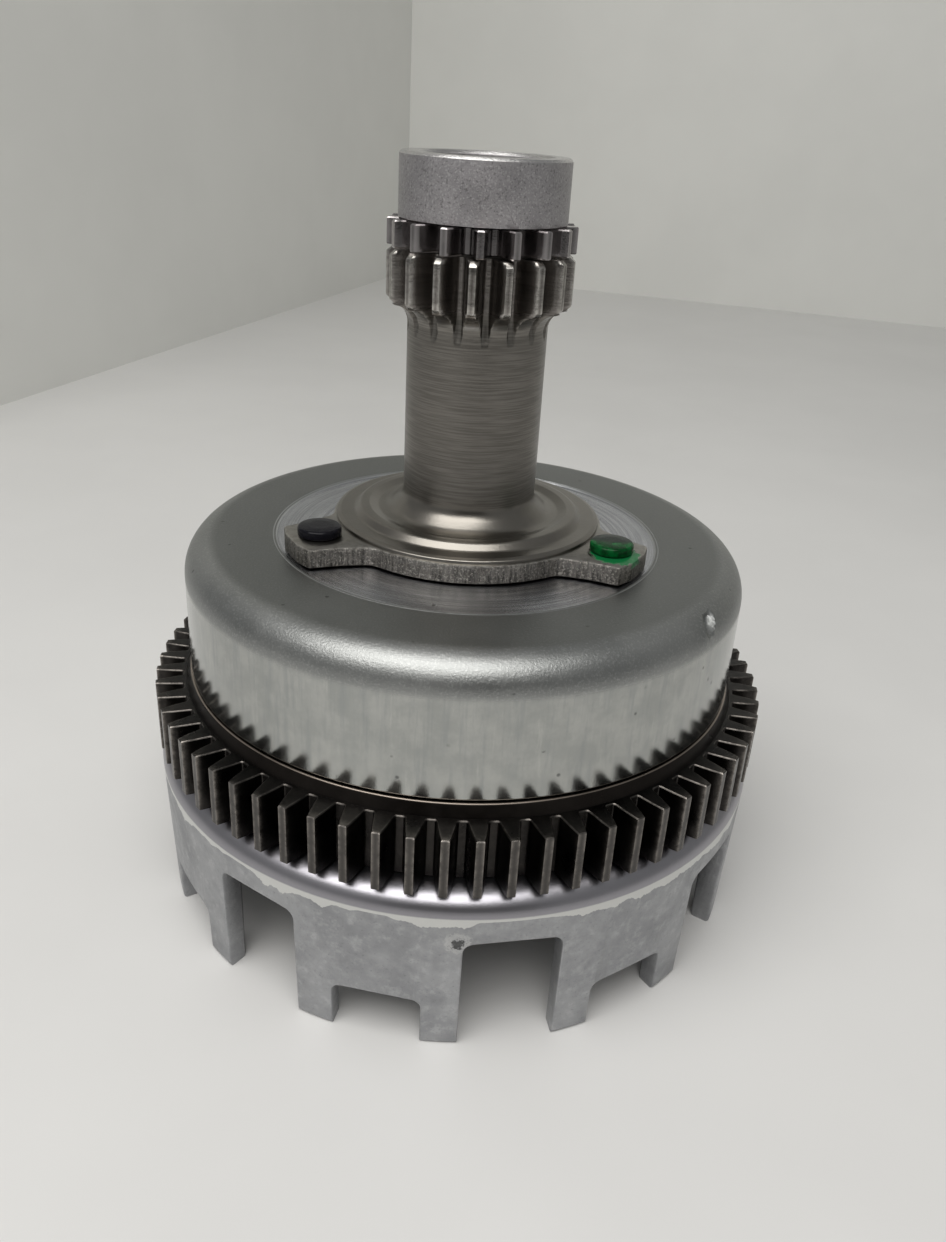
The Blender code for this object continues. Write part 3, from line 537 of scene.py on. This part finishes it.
def collar_steel():
    """Blasted sleeve: fine dark and bright speckle on matt grey, with a bright bevel."""
    p = Paint("collar_steel")
    cloud = p.noise(p.place, 0.15, 4.0, 0.6)
    grain = p.noise(p.place, 3.1, 3.0, 0.7)
    dark = p.noise(p.place, 2.3, 3.0, 0.7)
    colour = p.mix(p.span(cloud, 0.3, 0.7), (0.34, 0.328, 0.338), (0.41, 0.395, 0.405))
    colour = p.mix(p.span(grain, 0.52, 0.64, 0.0, 0.55), colour, (0.66, 0.645, 0.65))
    colour = p.mix(p.span(dark, 0.34, 0.46, 0.70, 0.0), colour, (0.17, 0.163, 0.167))
    bevel = p.span(p.z, COLLAR_HIGH - 0.5, COLLAR_HIGH - 0.42)
    colour = p.mix(p.math("MULTIPLY", bevel, 0.7), colour, (0.68, 0.67, 0.66))
    normal = p.bump(grain, 0.5, 0.12)
    normal = p.bump(dark, 0.25, 0.10, normal)
    return p.set(colour, p.blend(bevel, p.span(cloud, 0.3, 0.7, 0.42, 0.50), 0.25), 1.0, normal)


def rivet_paint(name, dark, bright=None):
    """Glossy marking paint; a second colour covers the side and part of the top."""
    p = Paint(name)
    drip = p.noise(p.place, 0.55, 4.0, 0.65)
    grain = p.noise(p.place, 2.0, 3.0, 0.6)
    colour = p.mix(p.span(grain, 0.3, 0.7), dark, tuple(c * 1.7 for c in dark))
    if bright:
        top = p.span(p.up, 0.75, 0.95)
        forward = p.span(p.math("ADD", p.y, p.math("MULTIPLY", drip, 5.0)), -13.0, -14.2)
        cover = p.math("MAXIMUM", p.math("SUBTRACT", 1.0, top), forward)
        shade = p.mix(p.span(drip, 0.35, 0.65), bright, tuple(c * 0.3 for c in bright))
        colour = p.mix(cover, colour, shade)
    normal = p.bump(drip, 0.25, 0.30)
    rough = p.span(grain, 0.3, 0.7, 0.14, 0.26)
    return p.set(colour, rough, 0.0, normal, Specular_IOR_Level=0.12, Coat_Weight=0.03, Coat_Roughness=0.05)


# ---------------------------------------------------------------- toothed outlines
def tooth_outline(teeth, azimuth, tip_r, root_r, land, base, power, flank=6):
    """Points (azimuth, radius, edge) of a spur gear's outline, tooth by tooth.

    A tooth is base wide at its root and land wide at its tip; power bows its flanks.
    """
    pitch = 360.0 / teeth
    depth = tip_r - root_r
    fillet = depth * 0.06
    right = []
    for i in range(flank + 1):
        share = i / flank
        r = root_r + fillet + (depth - fillet) * share
        half = land / 2 + (base - land) / 2 * (1 - (r - root_r) / depth) ** power
        right.append((math.degrees(half / r), r, 1.0 if i == flank else 0.0))
    foot_angle = math.degrees((base / 2 + fillet * 0.7) / root_r)
    half_tooth = [(pitch / 2, root_r, 0.0), (foot_angle, root_r, 0.0),
                  (math.degrees((base / 2 + fillet * 0.15) / root_r), root_r + fillet * 0.35, 0.0), *right]
    outline = []
    for t in range(teeth):
        centre = azimuth + pitch * t
        for angle, r, edge in half_tooth:
            outline.append((centre - angle, r, edge))
        outline.append((centre, tip_r, 0.0))
        for angle, r, edge in reversed(half_tooth[1:]):
            outline.append((centre + angle, r, edge))
    return outline


def inset(outline, amount):
    """Moves every point of a toothed outline inwards, square to the outline."""
    flat = [spot(a, r) for a, r, _ in outline]
    moved = []
    for i, here in enumerate(flat):
        along = flat[(i + 1) % len(flat)] - flat[i - 1]
        normal = Vector((along.y, -along.x, 0.0)).normalized()
        moved.append(here - normal * amount)
    return moved


# ---------------------------------------------------------------- pieces
GEAR_TEETH = 69
ROOT_R = 56.9
GEAR_LAND, GEAR_FOOT = 1.42, 3.55
LIP_OUTER_R = 55.3
LIP_INNER_R = 50.0
GEAR_TOP = 46.4
WEB_LOW, WEB_HIGH = 36.4, 41.0
GEAR_HUB_R, GEAR_HUB_BORE, GEAR_HUB_TOP = 20.0, 16.3, 43.0
TOOTH_BEVEL = 0.20
SPRING_RING_R = 34.0
SPRING_AZIMUTHS = [60.0 * i for i in range(6)]
RIVET_AZIMUTHS = [30.0, 150.0, 270.0]


def block(azimuth, ring_r, half_length, half_width, low, high, corner=1.2):
    """Block with rounded upright edges, long in the direction round the ring."""
    corners = [(-half_length, -half_width), (half_length, -half_width),
               (half_length, half_width), (-half_length, half_width)]
    outline = rounded([(x, y, corner) for x, y in corners], 4)
    out, side = spot(azimuth, 1.0), spot(azimuth + 90.0, 1.0)
    rings = []
    for z in (low, high):
        rings.append([out * (ring_r + y) + side * x + Vector((0, 0, z)) for x, y in outline])
    return rod("block", rings)


def peg(azimuth, ring_r, radius, low, high, sides=48):
    """Upright cylinder centred on a ring."""
    centre = spot(azimuth, ring_r)
    rings = [[centre + spot(360.0 * i / sides, radius, z) for i in range(sides)] for z in (low, high)]
    return rod("peg", rings)


def curved_slot(azimuth, ring_r, half_width, half_angle, low, high):
    """Slot that follows the ring, with round ends."""
    outline = []
    for end, start in ((half_angle, 0.0), (-half_angle, 180.0)):
        centre = spot(azimuth + end, ring_r)
        outline += [centre + spot(azimuth + end + start + 180.0 * i / 12, half_width) for i in range(13)]
    return rod("slot", [[p + Vector((0, 0, z)) for p in outline] for z in (low, high)])


def driven_gear(material):
    """Toothed rim with its raised ring, hub and windowed web."""
    outline = tooth_outline(GEAR_TEETH, 4.92, GEAR_TIP_R, ROOT_R, GEAR_LAND, GEAR_FOOT, 0.72)
    small = inset(outline, TOOTH_BEVEL)
    inner = rounded([
        (LIP_OUTER_R + 0.9, GEAR_TOP, 0.0),
        (LIP_OUTER_R, LIP_Z, 0.35),
        (LIP_INNER_R, LIP_Z, 0.5),
        (LIP_INNER_R, WEB_HIGH, 1.0),
        (GEAR_HUB_R, WEB_HIGH, 1.0),
        (GEAR_HUB_R, GEAR_HUB_TOP, 0.4),
        (GEAR_HUB_BORE, GEAR_HUB_TOP, 0.3),
        (GEAR_HUB_BORE, WEB_LOW, 0.3),
        (LIP_INNER_R, WEB_LOW, 1.0),
        (LIP_INNER_R, GEAR_LOW, 0.5),
        (LIP_INNER_R + 3.0, GEAR_LOW, 0.0),
    ], 3, closed=False)
    columns, edge = [], []
    for (azimuth, radius, edge_wear_and_glint), low in zip(outline, small):
        column = [
            Vector((low.x, low.y, GEAR_LOW)),
            spot(azimuth, radius, GEAR_LOW + TOOTH_BEVEL),
            spot(azimuth, radius, GEAR_TOP - TOOTH_BEVEL),
            Vector((low.x, low.y, GEAR_TOP)),
        ]
        column += [spot(azimuth, r, z) for r, z in inner]
        columns.append(column)
        # Edge values for the bright edge colour: partly rubbed metal, partly painted glints.
        edge += [0.5, max(edge_wear_and_glint * 0.9, 0.5), max(edge_wear_and_glint * 0.95, 0.6), 0.86] + [0.0] * len(inner)
    gear = columns_body("driven_gear_steel", columns, edge)
    cuts = [block(a, SPRING_RING_R, 9.3, 4.6, WEB_LOW - 1, WEB_HIGH + 1) for a in SPRING_AZIMUTHS]
    cuts += [curved_slot(a, SPRING_RING_R, 4.3, 3.0, WEB_LOW - 1, WEB_HIGH + 1) for a in RIVET_AZIMUTHS]
    combine(gear, join(cuts), "DIFFERENCE")
    return finish(gear, "driven_gear", ["primary_driven_gear"], material, 30.0)


def arch(half_width, top, corner, grow=0.0):
    """Outline of an opening in the basket's wall, grown by an amount."""
    half, high, radius = half_width + grow, top + grow, corner + grow
    shape = [(-half, -3.0, 0.0), (-half, high, radius), (half, high, radius), (half, -3.0, 0.0)]
    return rounded(shape, 6, closed=False)


def wall_cutter(azimuth, half_width, top, corner):
    """Opening cutter that flares at both faces of the wall, which bevels the edges it leaves."""
    out, side = spot(azimuth, 1.0), spot(azimuth + 90.0, 1.0)
    bevel = 0.5
    stations = [(53.0, bevel * 2), (BASKET_INNER_R, bevel * 0.7), (BASKET_INNER_R + bevel, 0.0)]
    stations += [("wall", -bevel, 0.0), ("wall", -bevel * 0.3, bevel * 0.3), ("wall", 0.0, bevel * 0.8),
                 ("wall", bevel * 3, bevel * 4.2)]
    rings = []
    for station in stations:
        grow = station[-1]
        ring = []
        for across, z in arch(half_width, top, corner, grow):
            radius = station[0]
            if radius == "wall":
                radius = FOOT_R + (WALL_R - FOOT_R) * max(z, 0.0) / PARTING_Z + station[1]
            depth = math.sqrt(radius * radius - across * across)
            ring.append(out * depth + side * across + Vector((0, 0, z)))
        rings.append(ring)
    return rod("opening", rings)


BASKET_INNER_R = 57.0
FOOT_R = 61.0
WALL_R = 62.0
PARTING_Z = 29.7
SHOULDER_R, SHOULDER_ROUND = 57.7, 4.3
SHOULDER_TOP = 34.0
DISC_TOP = 36.0
HUB_R, HUB_BORE, HUB_LOW, HUB_TOP = 16.0, 11.3, 26.0, 45.0
FINGERS = 8
WINDOW_AZIMUTH, WINDOW = 11.5, (8.7, 24.2, 2.0)  # half width, height, corner radius
NOTCH_AZIMUTH, NOTCH = -10.8, (8.1, 10.2, 1.9)
DIMPLE_AZIMUTH, DIMPLE_R, DIMPLE_Z = 54.0, 53.3, 72.6
DIMPLE_REACH, DIMPLE_DEPTH, DIMPLE_LEAN = 5.0, 1.15, math.radians(40.0)


def basket(material):
    """Cast basket with eight windows and eight notches between its feet."""
    shoulder = []
    for i in range(15):
        turn = math.radians(6.0 + 84.0 * i / 14)
        out, up = SHOULDER_ROUND * math.cos(turn), SHOULDER_ROUND * math.sin(turn)
        shoulder.append((SHOULDER_R + out, PARTING_Z + up, 0.0))
    profile = rounded([
        (HUB_BORE, HUB_LOW, 0.6), (HUB_R, HUB_LOW, 0.6), (HUB_R, 30.0, 1.5), (BASKET_INNER_R, 30.0, 2.0),
        (BASKET_INNER_R, 0.0, 0.9), (FOOT_R, 0.0, 0.9), (WALL_R, PARTING_Z - 0.1, 0.1), *shoulder,
        (49.4, SHOULDER_TOP, 0.5), (48.6, DISC_TOP, 0.4), (HUB_R, DISC_TOP, 0.6),
        (HUB_R, HUB_TOP, 0.7), (HUB_BORE, HUB_TOP, 0.6),
    ], 5)
    part = turned("basket_casting", profile, 256)
    combine(part, join([peg(a, SPRING_RING_R, 4.0, 32.0, 41.1) for a in RIVET_AZIMUTHS]), "UNION")
    cuts = []
    for i in range(FINGERS):
        turn = 360.0 / FINGERS * i
        cuts.append(wall_cutter(WINDOW_AZIMUTH + turn, *WINDOW))
        cuts.append(wall_cutter(NOTCH_AZIMUTH + turn, *NOTCH))
    cuts += [block(a, SPRING_RING_R, 9.3, 4.6, 34.0, 37.0) for a in SPRING_AZIMUTHS]
    cuts += [peg(a, SPRING_RING_R, 2.3, 28.0, 43.0) for a in RIVET_AZIMUTHS]
    combine(part, join(cuts), "DIFFERENCE")
    return finish(part, "basket", ["clutch_outer"], material, 32.0)


def drum(material):
    """Turned drum with a fine lip round its recess and a dimple struck in the shoulder."""
    recess_z = DRUM_TOP - 0.3
    profile = rounded([
        (52.0, DRUM_RIM, 0.4), (DRUM_R, DRUM_RIM, 0.5), (DRUM_R, DRUM_TOP, 6.2),
        (38.15, DRUM_TOP, 0.08), (38.0, DRUM_TOP - 0.12, 0.0), (37.85, DRUM_TOP - 0.02, 0.0),
        (37.6, DRUM_TOP - 0.04, 0.0), (37.35, recess_z, 0.05), (17.0, recess_z, 0.2),
        (17.0, 71.8, 0.3), (52.0, 71.8, 2.6),
    ], 14)
    fine = [49.0 + 0.2 * i for i in range(51)]
    azimuths = [1.4 * i for i in range(35)] + fine + [60.4 + 1.4 * i for i in range(214)]
    part = turned("drum_cup", profile, azimuths=azimuths)
    centre = spot(DIMPLE_AZIMUTH, DIMPLE_R, DIMPLE_Z)
    out = (spot(DIMPLE_AZIMUTH, 1.0) + Vector((0, 0, 1.0))).normalized()
    side = spot(DIMPLE_AZIMUTH + 90.0, 1.0)
    down = out.cross(side)
    for vert in part.data.vertices:
        offset = Vector(vert.co) / MM - centre
        if offset.length < DIMPLE_REACH and vert.co.xy.length > 0.0521:
            u, v = offset.dot(side), offset.dot(down)
            long_way = u * math.cos(DIMPLE_LEAN) + v * math.sin(DIMPLE_LEAN)
            short_way = v * math.cos(DIMPLE_LEAN) - u * math.sin(DIMPLE_LEAN)
            away = math.sqrt((long_way / 2.9) ** 2 + (short_way / 1.45) ** 2)
            sink = DIMPLE_DEPTH * max(0.0, 1.0 - away ** 1.6) - 0.12 * math.exp(-((away - 1.2) / 0.25) ** 2)
            vert.co -= out * sink * MM
    return finish(part, "bell", ["clutch_drum"], material, 40.0)


EARS = (-60.0, 60.0, 180.0)
FLANGE_LOW, FLANGE_HIGH = 74.8, 78.6
TUBE_R = 12.83
PINION_TEETH = 17
PINION_TIP_R = 16.8
PINION_BASE_R = 12.1
PINION_LAND, PINION_FOOT = 1.2, 3.3
BORE_R, BORE_TOP, NOSE_BORE_R = 9.6, 127.0, 8.3
JOURNAL_R = 10.9


def flange_outline():
    """Smooth outline of the eared flange."""
    corners = []
    for ear in EARS:
        half = [(26.0, 26.3, 0.0), (20.0, 26.5, 4.0), (13.6, 31.2, 9.0), (10.2, 36.4, 0.9), (4.6, 37.0, 0.0)]
        for angle, r, soft in half:
            corners.append((ear - angle, r, soft))
        for angle, r, soft in reversed(half):
            corners.append((ear + angle, r, soft))
        for k in range(1, 14):
            corners.append((ear + 26.0 + 68.0 * k / 14, 26.3, 0.0))
    flat = [(*spot(a, r).xy, soft) for a, r, soft in corners]
    outline = rounded(flat, 7)
    dense = []
    for i, (x, y) in enumerate(outline):
        nx, ny = outline[(i + 1) % len(outline)]
        pieces = max(1, round(math.hypot(nx - x, ny - y) / 1.2))
        for k in range(pieces):
            dense.append(Vector((x + (nx - x) * k / pieces, y + (ny - y) * k / pieces, 0.0)))
    return dense


def drive_gear(material):
    """Flange, stepped boss, tube, pinion with tapering run-outs and the journal above."""
    blank = rounded([
        (BORE_R, SHAFT_LOW, 0.4), (16.6, SHAFT_LOW, 0.4), (16.6, 76.0, 0.0), (25.8, 76.0, 0.0),
        (25.8, 79.15, 0.35), (24.9, 79.45, 0.5), (22.3, 79.45, 0.9), (21.1, 80.75, 0.9),
        (19.4, 80.75, 1.2), (17.6, 80.2, 2.0), (15.6, 80.3, 3.0), (TUBE_R, 82.7, 3.2), (TUBE_R, 110.0, 0.0),
    ], 6, closed=False)
    blank = blank[:-1]
    for k in range(20):
        blank.append((TUBE_R, 86.0 + 1.35 * k))
    radius = 3.7
    for k in range(16):
        turn = math.radians(84.0 * k / 15)
        blank.append((TUBE_R + radius * (1 - math.cos(turn)), 115.3 + radius * math.sin(turn)))
    blank = [p for p in blank if p[1] < 113.0 or p[0] > TUBE_R or p[1] == 115.3]
    run_out = [(TUBE_R, 113.0 + 0.25 * k) for k in range(9)]
    split = next(i for i, p in enumerate(blank) if p[1] == 115.3)
    blank = blank[:split] + run_out + blank[split:]
    blank += [(15.95, 119.1), (16.2, 119.3), (PINION_TIP_R - 0.1, 119.75), (PINION_TIP_R, 120.0)]
    blank += [(PINION_TIP_R, 120.0 + 1.2 * k) for k in range(1, 7)]
    blank += [(PINION_TIP_R - 0.05, 127.35), (PINION_TIP_R - 0.95, 128.1), (PINION_TIP_R - 1.1, 128.2)]
    blank += [(JOURNAL_R, 128.2), (JOURNAL_R, 129.6), (9.7, 129.6), (9.7, 131.6), (JOURNAL_R, 131.6),
              (JOURNAL_R, SHAFT_TOP - 0.6), (JOURNAL_R - 0.6, SHAFT_TOP), (NOSE_BORE_R + 0.4, SHAFT_TOP),
              (NOSE_BORE_R, SHAFT_TOP - 0.4), (NOSE_BORE_R, BORE_TOP), (BORE_R, BORE_TOP)]
    outline = tooth_outline(PINION_TEETH, -3.9, PINION_TIP_R, PINION_BASE_R,
                            PINION_LAND, PINION_FOOT, 0.60, flank=7)
    columns, edge = [], []
    for azimuth, rho, edge_wear_and_glint in outline:
        column = []
        for r, z in blank:
            if 112.9 < z < 128.3 and r > JOURNAL_R:
                lift = 0.85 * max(0.0, (119.0 - z) / 5.6) ** 2.2
                limit = rho + lift
                # Edge values for the bright edge colour: partly rubbed metal, partly painted glints; the
                # bevel under the teeth gets a painted bright line.
                edge_wear_and_glint_here = edge_wear_and_glint if z > 119.0 else 0.0
                if z > 127.3 and r < limit:
                    edge_wear_and_glint_here = 0.85
                if 119.0 <= z < 119.9 and r < limit:
                    edge_wear_and_glint_here = 0.55
                column.append(spot(azimuth, min(r, limit), z))
                edge.append(edge_wear_and_glint_here * 0.8)
            else:
                column.append(spot(azimuth, r, z))
                edge.append(0.0)
        columns.append(column)
    shaft = columns_body("pinion_shaft", columns, edge)
    dense = flange_outline()
    rings = []
    for i, here in enumerate(dense):
        along = dense[(i + 1) % len(dense)] - dense[i - 1]
        inward = -Vector((along.y, -along.x, 0.0)).normalized()
        core = here.normalized() * 20.0
        ring = [core + Vector((0, 0, FLANGE_LOW)), here + inward * 0.35 + Vector((0, 0, FLANGE_LOW)),
                here + Vector((0, 0, FLANGE_LOW + 0.3)), here + Vector((0, 0, FLANGE_HIGH - 0.45)),
                here + inward * 0.12 + Vector((0, 0, FLANGE_HIGH - 0.15)),
                here + inward * 0.45 + Vector((0, 0, FLANGE_HIGH)), core + Vector((0, 0, FLANGE_HIGH))]
        rings.append(ring)
    # Edge values on the flange's top bevel for the bright edge colour: partly rubbed metal, partly painted
    # glints.
    flange = columns_body("flange", rings, [0.0, 0.0, 0.0, 0.25, 0.5, 0.25, 0.0] * len(rings))
    return finish(join([shaft, flange]), "bell", ["primary_drive_gear"], material, 34.0)


def thin_gear(material):
    """Sub gear: the pinion's teeth on a thin ring, with fine bevels."""
    outline = tooth_outline(PINION_TEETH, -0.3, PINION_TIP_R, PINION_BASE_R,
                            PINION_LAND, PINION_FOOT, 0.60, flank=7)
    small = inset(outline, 0.22)
    columns, edge = [], []
    for (azimuth, radius, edge_wear_and_glint), low in zip(outline, small):
        columns.append([
            Vector((low.x, low.y, SUB_LOW)), spot(azimuth, radius, SUB_LOW + 0.22),
            spot(azimuth, radius, SUB_HIGH - 0.22), Vector((low.x, low.y, SUB_HIGH)),
            spot(azimuth, 11.4, SUB_HIGH), spot(azimuth, 11.15, SUB_HIGH - 0.25),
            spot(azimuth, 11.15, SUB_LOW + 0.25), spot(azimuth, 11.4, SUB_LOW)])
        # Edge values for the bright edge colour: partly rubbed metal, partly painted glints.
        edge += [0.6, max(edge_wear_and_glint, 0.3), max(edge_wear_and_glint, 0.3), 0.9, 0.2, 0.0, 0.0, 0.0]
    gear = columns_body("sub_gear_ring", columns, edge)
    return finish(gear, "sub_gear", ["sub_gear"], material, 30.0)


def sleeve(name, body, node, material, outer, inner, soft, groove=None):
    """Sleeve with rounded edges and, on a bush, an oil groove."""
    low, high = heights(node)
    shape = [(inner, low, soft), (outer, low, soft), (outer, high, soft), (inner, high, soft)]
    if groove:
        middle = (low + high) / 2
        shape += [(inner, middle + groove, 0.1), (inner + 0.35, middle + groove - 0.3, 0.1),
                  (inner + 0.35, middle - groove + 0.3, 0.1), (inner, middle - groove, 0.1)]
    part = turned(name, rounded(shape, 3), 128)
    return finish(part, body, [node], material)


def collar(material):
    """End collar with a crisp bevel outside and a softer one inside."""
    profile = rounded([
        (11.2, COLLAR_LOW, 0.2), (COLLAR_R, COLLAR_LOW, 0.15), (COLLAR_R, COLLAR_HIGH - 0.45, 0.05),
        (COLLAR_R - 0.45, COLLAR_HIGH, 0.05), (11.8, COLLAR_HIGH, 0.05), (11.2, COLLAR_HIGH - 0.6, 0.05),
    ], 3)
    part = turned("end_sleeve", profile, 160)
    return finish(part, "bell", ["end_collar"], material)


def rivet(name, body, node, material, shank, head, dome=0.5):
    """Rivet whose rounded head has a slightly crowned top."""
    low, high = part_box(node)
    centre = Vector(((low.x + high.x) / 2, (low.y + high.y) / 2, 0)) / MM
    bottom, top = low.z / MM, high.z / MM
    low_head, high_head = RIVET_SEATS[body]
    shape = rounded([
        (0.4, bottom, 0.0), (head, bottom, dome), (head, low_head, 0.1), (shank, low_head, 0.1),
        (shank, high_head, 0.1), (head, high_head, 0.15), (head, top - 0.12, dome), (head * 0.5, top, 1.5),
        (0.4, top, 0.0),
    ], 5, closed=False)
    rings = [[centre + spot(360.0 * i / 48, r, z) for i in range(48)] for r, z in shape]
    return finish(rod(name, rings), body, [node], material)


RIVET_SEATS = {"bell": (71.5, 78.8), "basket": (29.7, 43.7)}


def coil(number, azimuth, material):
    """Damper spring of round wire with closed ends."""
    centre = spot(azimuth, SPRING_RING_R, 38.6)
    along, out, up = spot(azimuth + 90.0, 1.0), spot(azimuth, 1.0), Vector((0, 0, 1.0))
    wire, mean, turns, per_turn = 0.8, 3.25, 5.5, 26
    length = 18.0 - 2 * wire
    steps = round(turns * per_turn)
    rings = []
    for i in range(steps + 1):
        share = i / steps
        angle = 2 * math.pi * turns * share
        ease = 0.5 - 0.5 * math.cos(math.pi * share)
        travel = length * (0.75 * share + 0.25 * ease - 0.5)
        ray = out * math.cos(angle) + up * math.sin(angle)
        middle = centre + ray * mean + along * travel
        taper = min(1.0, 0.35 + 3.0 * min(share, 1 - share) * turns)
        rings.append([middle + (ray * math.cos(s) + along * math.sin(s)) * wire * taper
                      for s in (2 * math.pi * k / 10 for k in range(10))])
    piece = rod(f"damper_coil_{number}", rings)
    finish(piece, "damper_springs", [f"damper_spring_{number}"], material)
    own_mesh(piece)
    return piece


def ring_spring(material):
    """Open ring of round-edged strip in the journal's groove."""
    low, high = heights("sub_gear_spring")
    section = rounded([(9.95, low, 0.2), (10.7, low, 0.2), (10.7, high, 0.2), (9.95, high, 0.2)], 2)
    rings = [[spot(17.0 + 326.0 * i / 90, r, z) for r, z in section] for i in range(91)]
    return finish(rod("sub_gear_ring_spring", rings), "bell", ["sub_gear_spring"], material)


def cover_plate(material):
    """Side plate with rounded edges and a window over each spring."""
    profile = rounded([(20.7, PLATE_LOW, 0.3), (47.0, PLATE_LOW, 0.3), (47.0, PLATE_HIGH, 0.5),
                       (20.7, PLATE_HIGH, 0.5)], 3)
    part = turned("spring_cover_plate", profile, 144)
    cuts = [block(a, SPRING_RING_R, 9.3, 3.5, PLATE_LOW - 1, PLATE_HIGH + 1) for a in SPRING_AZIMUTHS]
    cuts += [peg(a, SPRING_RING_R, 2.3, PLATE_LOW - 1, PLATE_HIGH + 1) for a in RIVET_AZIMUTHS]
    combine(part, join(cuts), "DIFFERENCE")
    return finish(part, "basket", ["side_plate"], material, 32.0)


def build_pieces():
    """Builds every visible piece from the CAD positions."""
    basket(cast_aluminium())
    driven_gear(gear_steel())
    drum(drum_steel())
    drive_gear(shaft_steel())
    polished = simple_metal(
        "sub_gear_steel", (0.125, 0.118, 0.118), (0.25, 0.235, 0.235), 0.16, 0.3, 3.0, 0.10, 0.06
    )
    thin_gear(polished)
    collar(collar_steel())
    plain = simple_metal("rivet_steel", (0.22, 0.21, 0.20), (0.33, 0.32, 0.30), 0.32, 0.3, 3.5, 0.3)
    wire = simple_metal("spring_steel", (0.12, 0.12, 0.125), (0.24, 0.24, 0.245), 0.30, 0.2, 4.0, 0.2)
    bronze = simple_metal("bush_bronze", (0.36, 0.24, 0.11), (0.52, 0.36, 0.18), 0.30, 0.2, 4.0, 0.2, 0.3)
    sheet = simple_metal("plate_steel", (0.20, 0.20, 0.205), (0.34, 0.34, 0.345), 0.34, 0.12, 3.5, 0.25)
    rivet("rivet_black", "bell", "drum_rivet_black",
          rivet_paint("black_paint", (0.004, 0.004, 0.006)), 3.0, 4.05)
    rivet("rivet_green", "bell", "drum_rivet_green",
          rivet_paint("green_paint", (0.005, 0.009, 0.007), (0.001, 0.085, 0.018)), 3.0, 4.05)
    rivet("rivet_rear", "bell", "drum_rivet_rear", plain, 3.0, 4.05)
    for number in range(1, 4):
        rivet(f"cover_rivet_{number}", "basket", f"clutch_rivet_{number}", plain, 2.0, 3.6)
    for number, azimuth in enumerate(SPRING_AZIMUTHS, start=1):
        coil(number, azimuth, wire)
    ring_spring(wire)
    cover_plate(sheet)
    sleeve("hub_sleeve", "basket", "hub_bush", bronze, 11.0, 9.4, 0.35, 1.2)
    sleeve("lower_sleeve", "crank_bushes", "shaft_bush_lower", bronze, 9.5, 8.1, 0.3, 1.2)
    sleeve("upper_sleeve", "crank_bushes", "shaft_bush_upper", bronze, 9.5, 8.1, 0.3, 1.2)


# ---------------------------------------------------------------- studio
def plain_surface(name, colour, rough):
    """Pale painted surface with faint cloudiness."""
    p = Paint(name)
    cloud = p.noise(p.place, 0.01, 3.0, 0.6)
    shade = p.mix(p.span(cloud, 0.3, 0.7), tuple(c * 0.96 for c in colour), colour)
    return p.set(shade, rough, 0.0)


def panel(name, corners, material):
    """Flat backdrop panel from its corners."""
    mesh = bpy.data.meshes.new(name)
    mesh.from_pydata([tuple(c * MM for c in corner) for corner in corners], [], [tuple(range(len(corners)))])
    made = bpy.data.objects.new(name, mesh)
    bpy.context.scene.collection.objects.link(made)
    made.data.materials.append(material)
    return made


def area_light(name, place, target, size, power, colour):
    """Soft area light aimed at a point."""
    data = bpy.data.lights.new(name, "AREA")
    data.shape = "RECTANGLE"
    data.size, data.size_y = size
    data.energy = power
    data.color = colour
    made = bpy.data.objects.new(name, data)
    made.location = place
    made.rotation_euler = (Vector(target) - Vector(place)).to_track_quat("-Z", "Y").to_euler()
    bpy.context.scene.collection.objects.link(made)
    return made


def studio():
    """Pale floor with two pale walls, a soft light overhead in front and a dark flag behind the viewer."""
    floor = plain_surface("floor_paint", (0.74, 0.735, 0.725), 0.35)
    wall = plain_surface("wall_paint", (0.80, 0.80, 0.77), 0.5)
    flag = plain_surface("flag_cloth", (0.05, 0.05, 0.05), 0.9)
    far = 2500.0
    panel("floor", [(-far, -far, 0), (far, -far, 0), (far, far, 0), (-far, far, 0)], floor)
    corner = (-80.0, 880.0)
    left_end = (-290.0, 180.0)  # stops short, so that the set can be looked at from behind it
    right_end = (1500.0, 380.0)
    high = 700.0
    for name, end in (("wall_left", left_end), ("wall_right", right_end)):
        panel(name, [(*end, 0), (*corner, 0), (*corner, high), (*end, high)], wall)
    panel("flag", [(-230, -620, 60), (330, -620, 60), (330, -620, 520), (-230, -620, 520)], flag)
    world = bpy.data.worlds.new("room")
    bpy.context.scene.world = world
    world.use_nodes = True
    world.node_tree.nodes["Background"].inputs[0].default_value = (0.80, 0.81, 0.80, 1.0)
    world.node_tree.nodes["Background"].inputs[1].default_value = 0.335
    area_light("overhead", (-0.14, -0.36, 0.74), (0, 0, 0.06), (0.85, 0.60), 6.6, (1.0, 0.985, 0.96))


CAMERA_PLACE = (0.0014, -0.19266, 0.15087)
CAMERA_YAW, CAMERA_DOWN, CAMERA_ROLL = -0.27, 26.54, 3.33
CAMERA_LENS = 29.858


def camera():
    """Camera at the height and tilt from which the set was looked at."""
    data = bpy.data.cameras.new("camera")
    data.lens = CAMERA_LENS
    data.sensor_width = 36.0
    data.clip_start = 0.01
    made = bpy.data.objects.new("camera", data)
    yaw, tilt, roll = math.radians(CAMERA_YAW), math.radians(90.0 - CAMERA_DOWN), math.radians(CAMERA_ROLL)
    turn = Matrix.Rotation(yaw, 4, "Z") @ Matrix.Rotation(tilt, 4, "X") @ Matrix.Rotation(roll, 4, "Z")
    made.matrix_world = Matrix.Translation(CAMERA_PLACE) @ turn
    bpy.context.scene.collection.objects.link(made)
    bpy.context.scene.camera = made


build_pieces()
studio()
camera()
bpy.context.scene.view_settings.view_transform = "Standard"
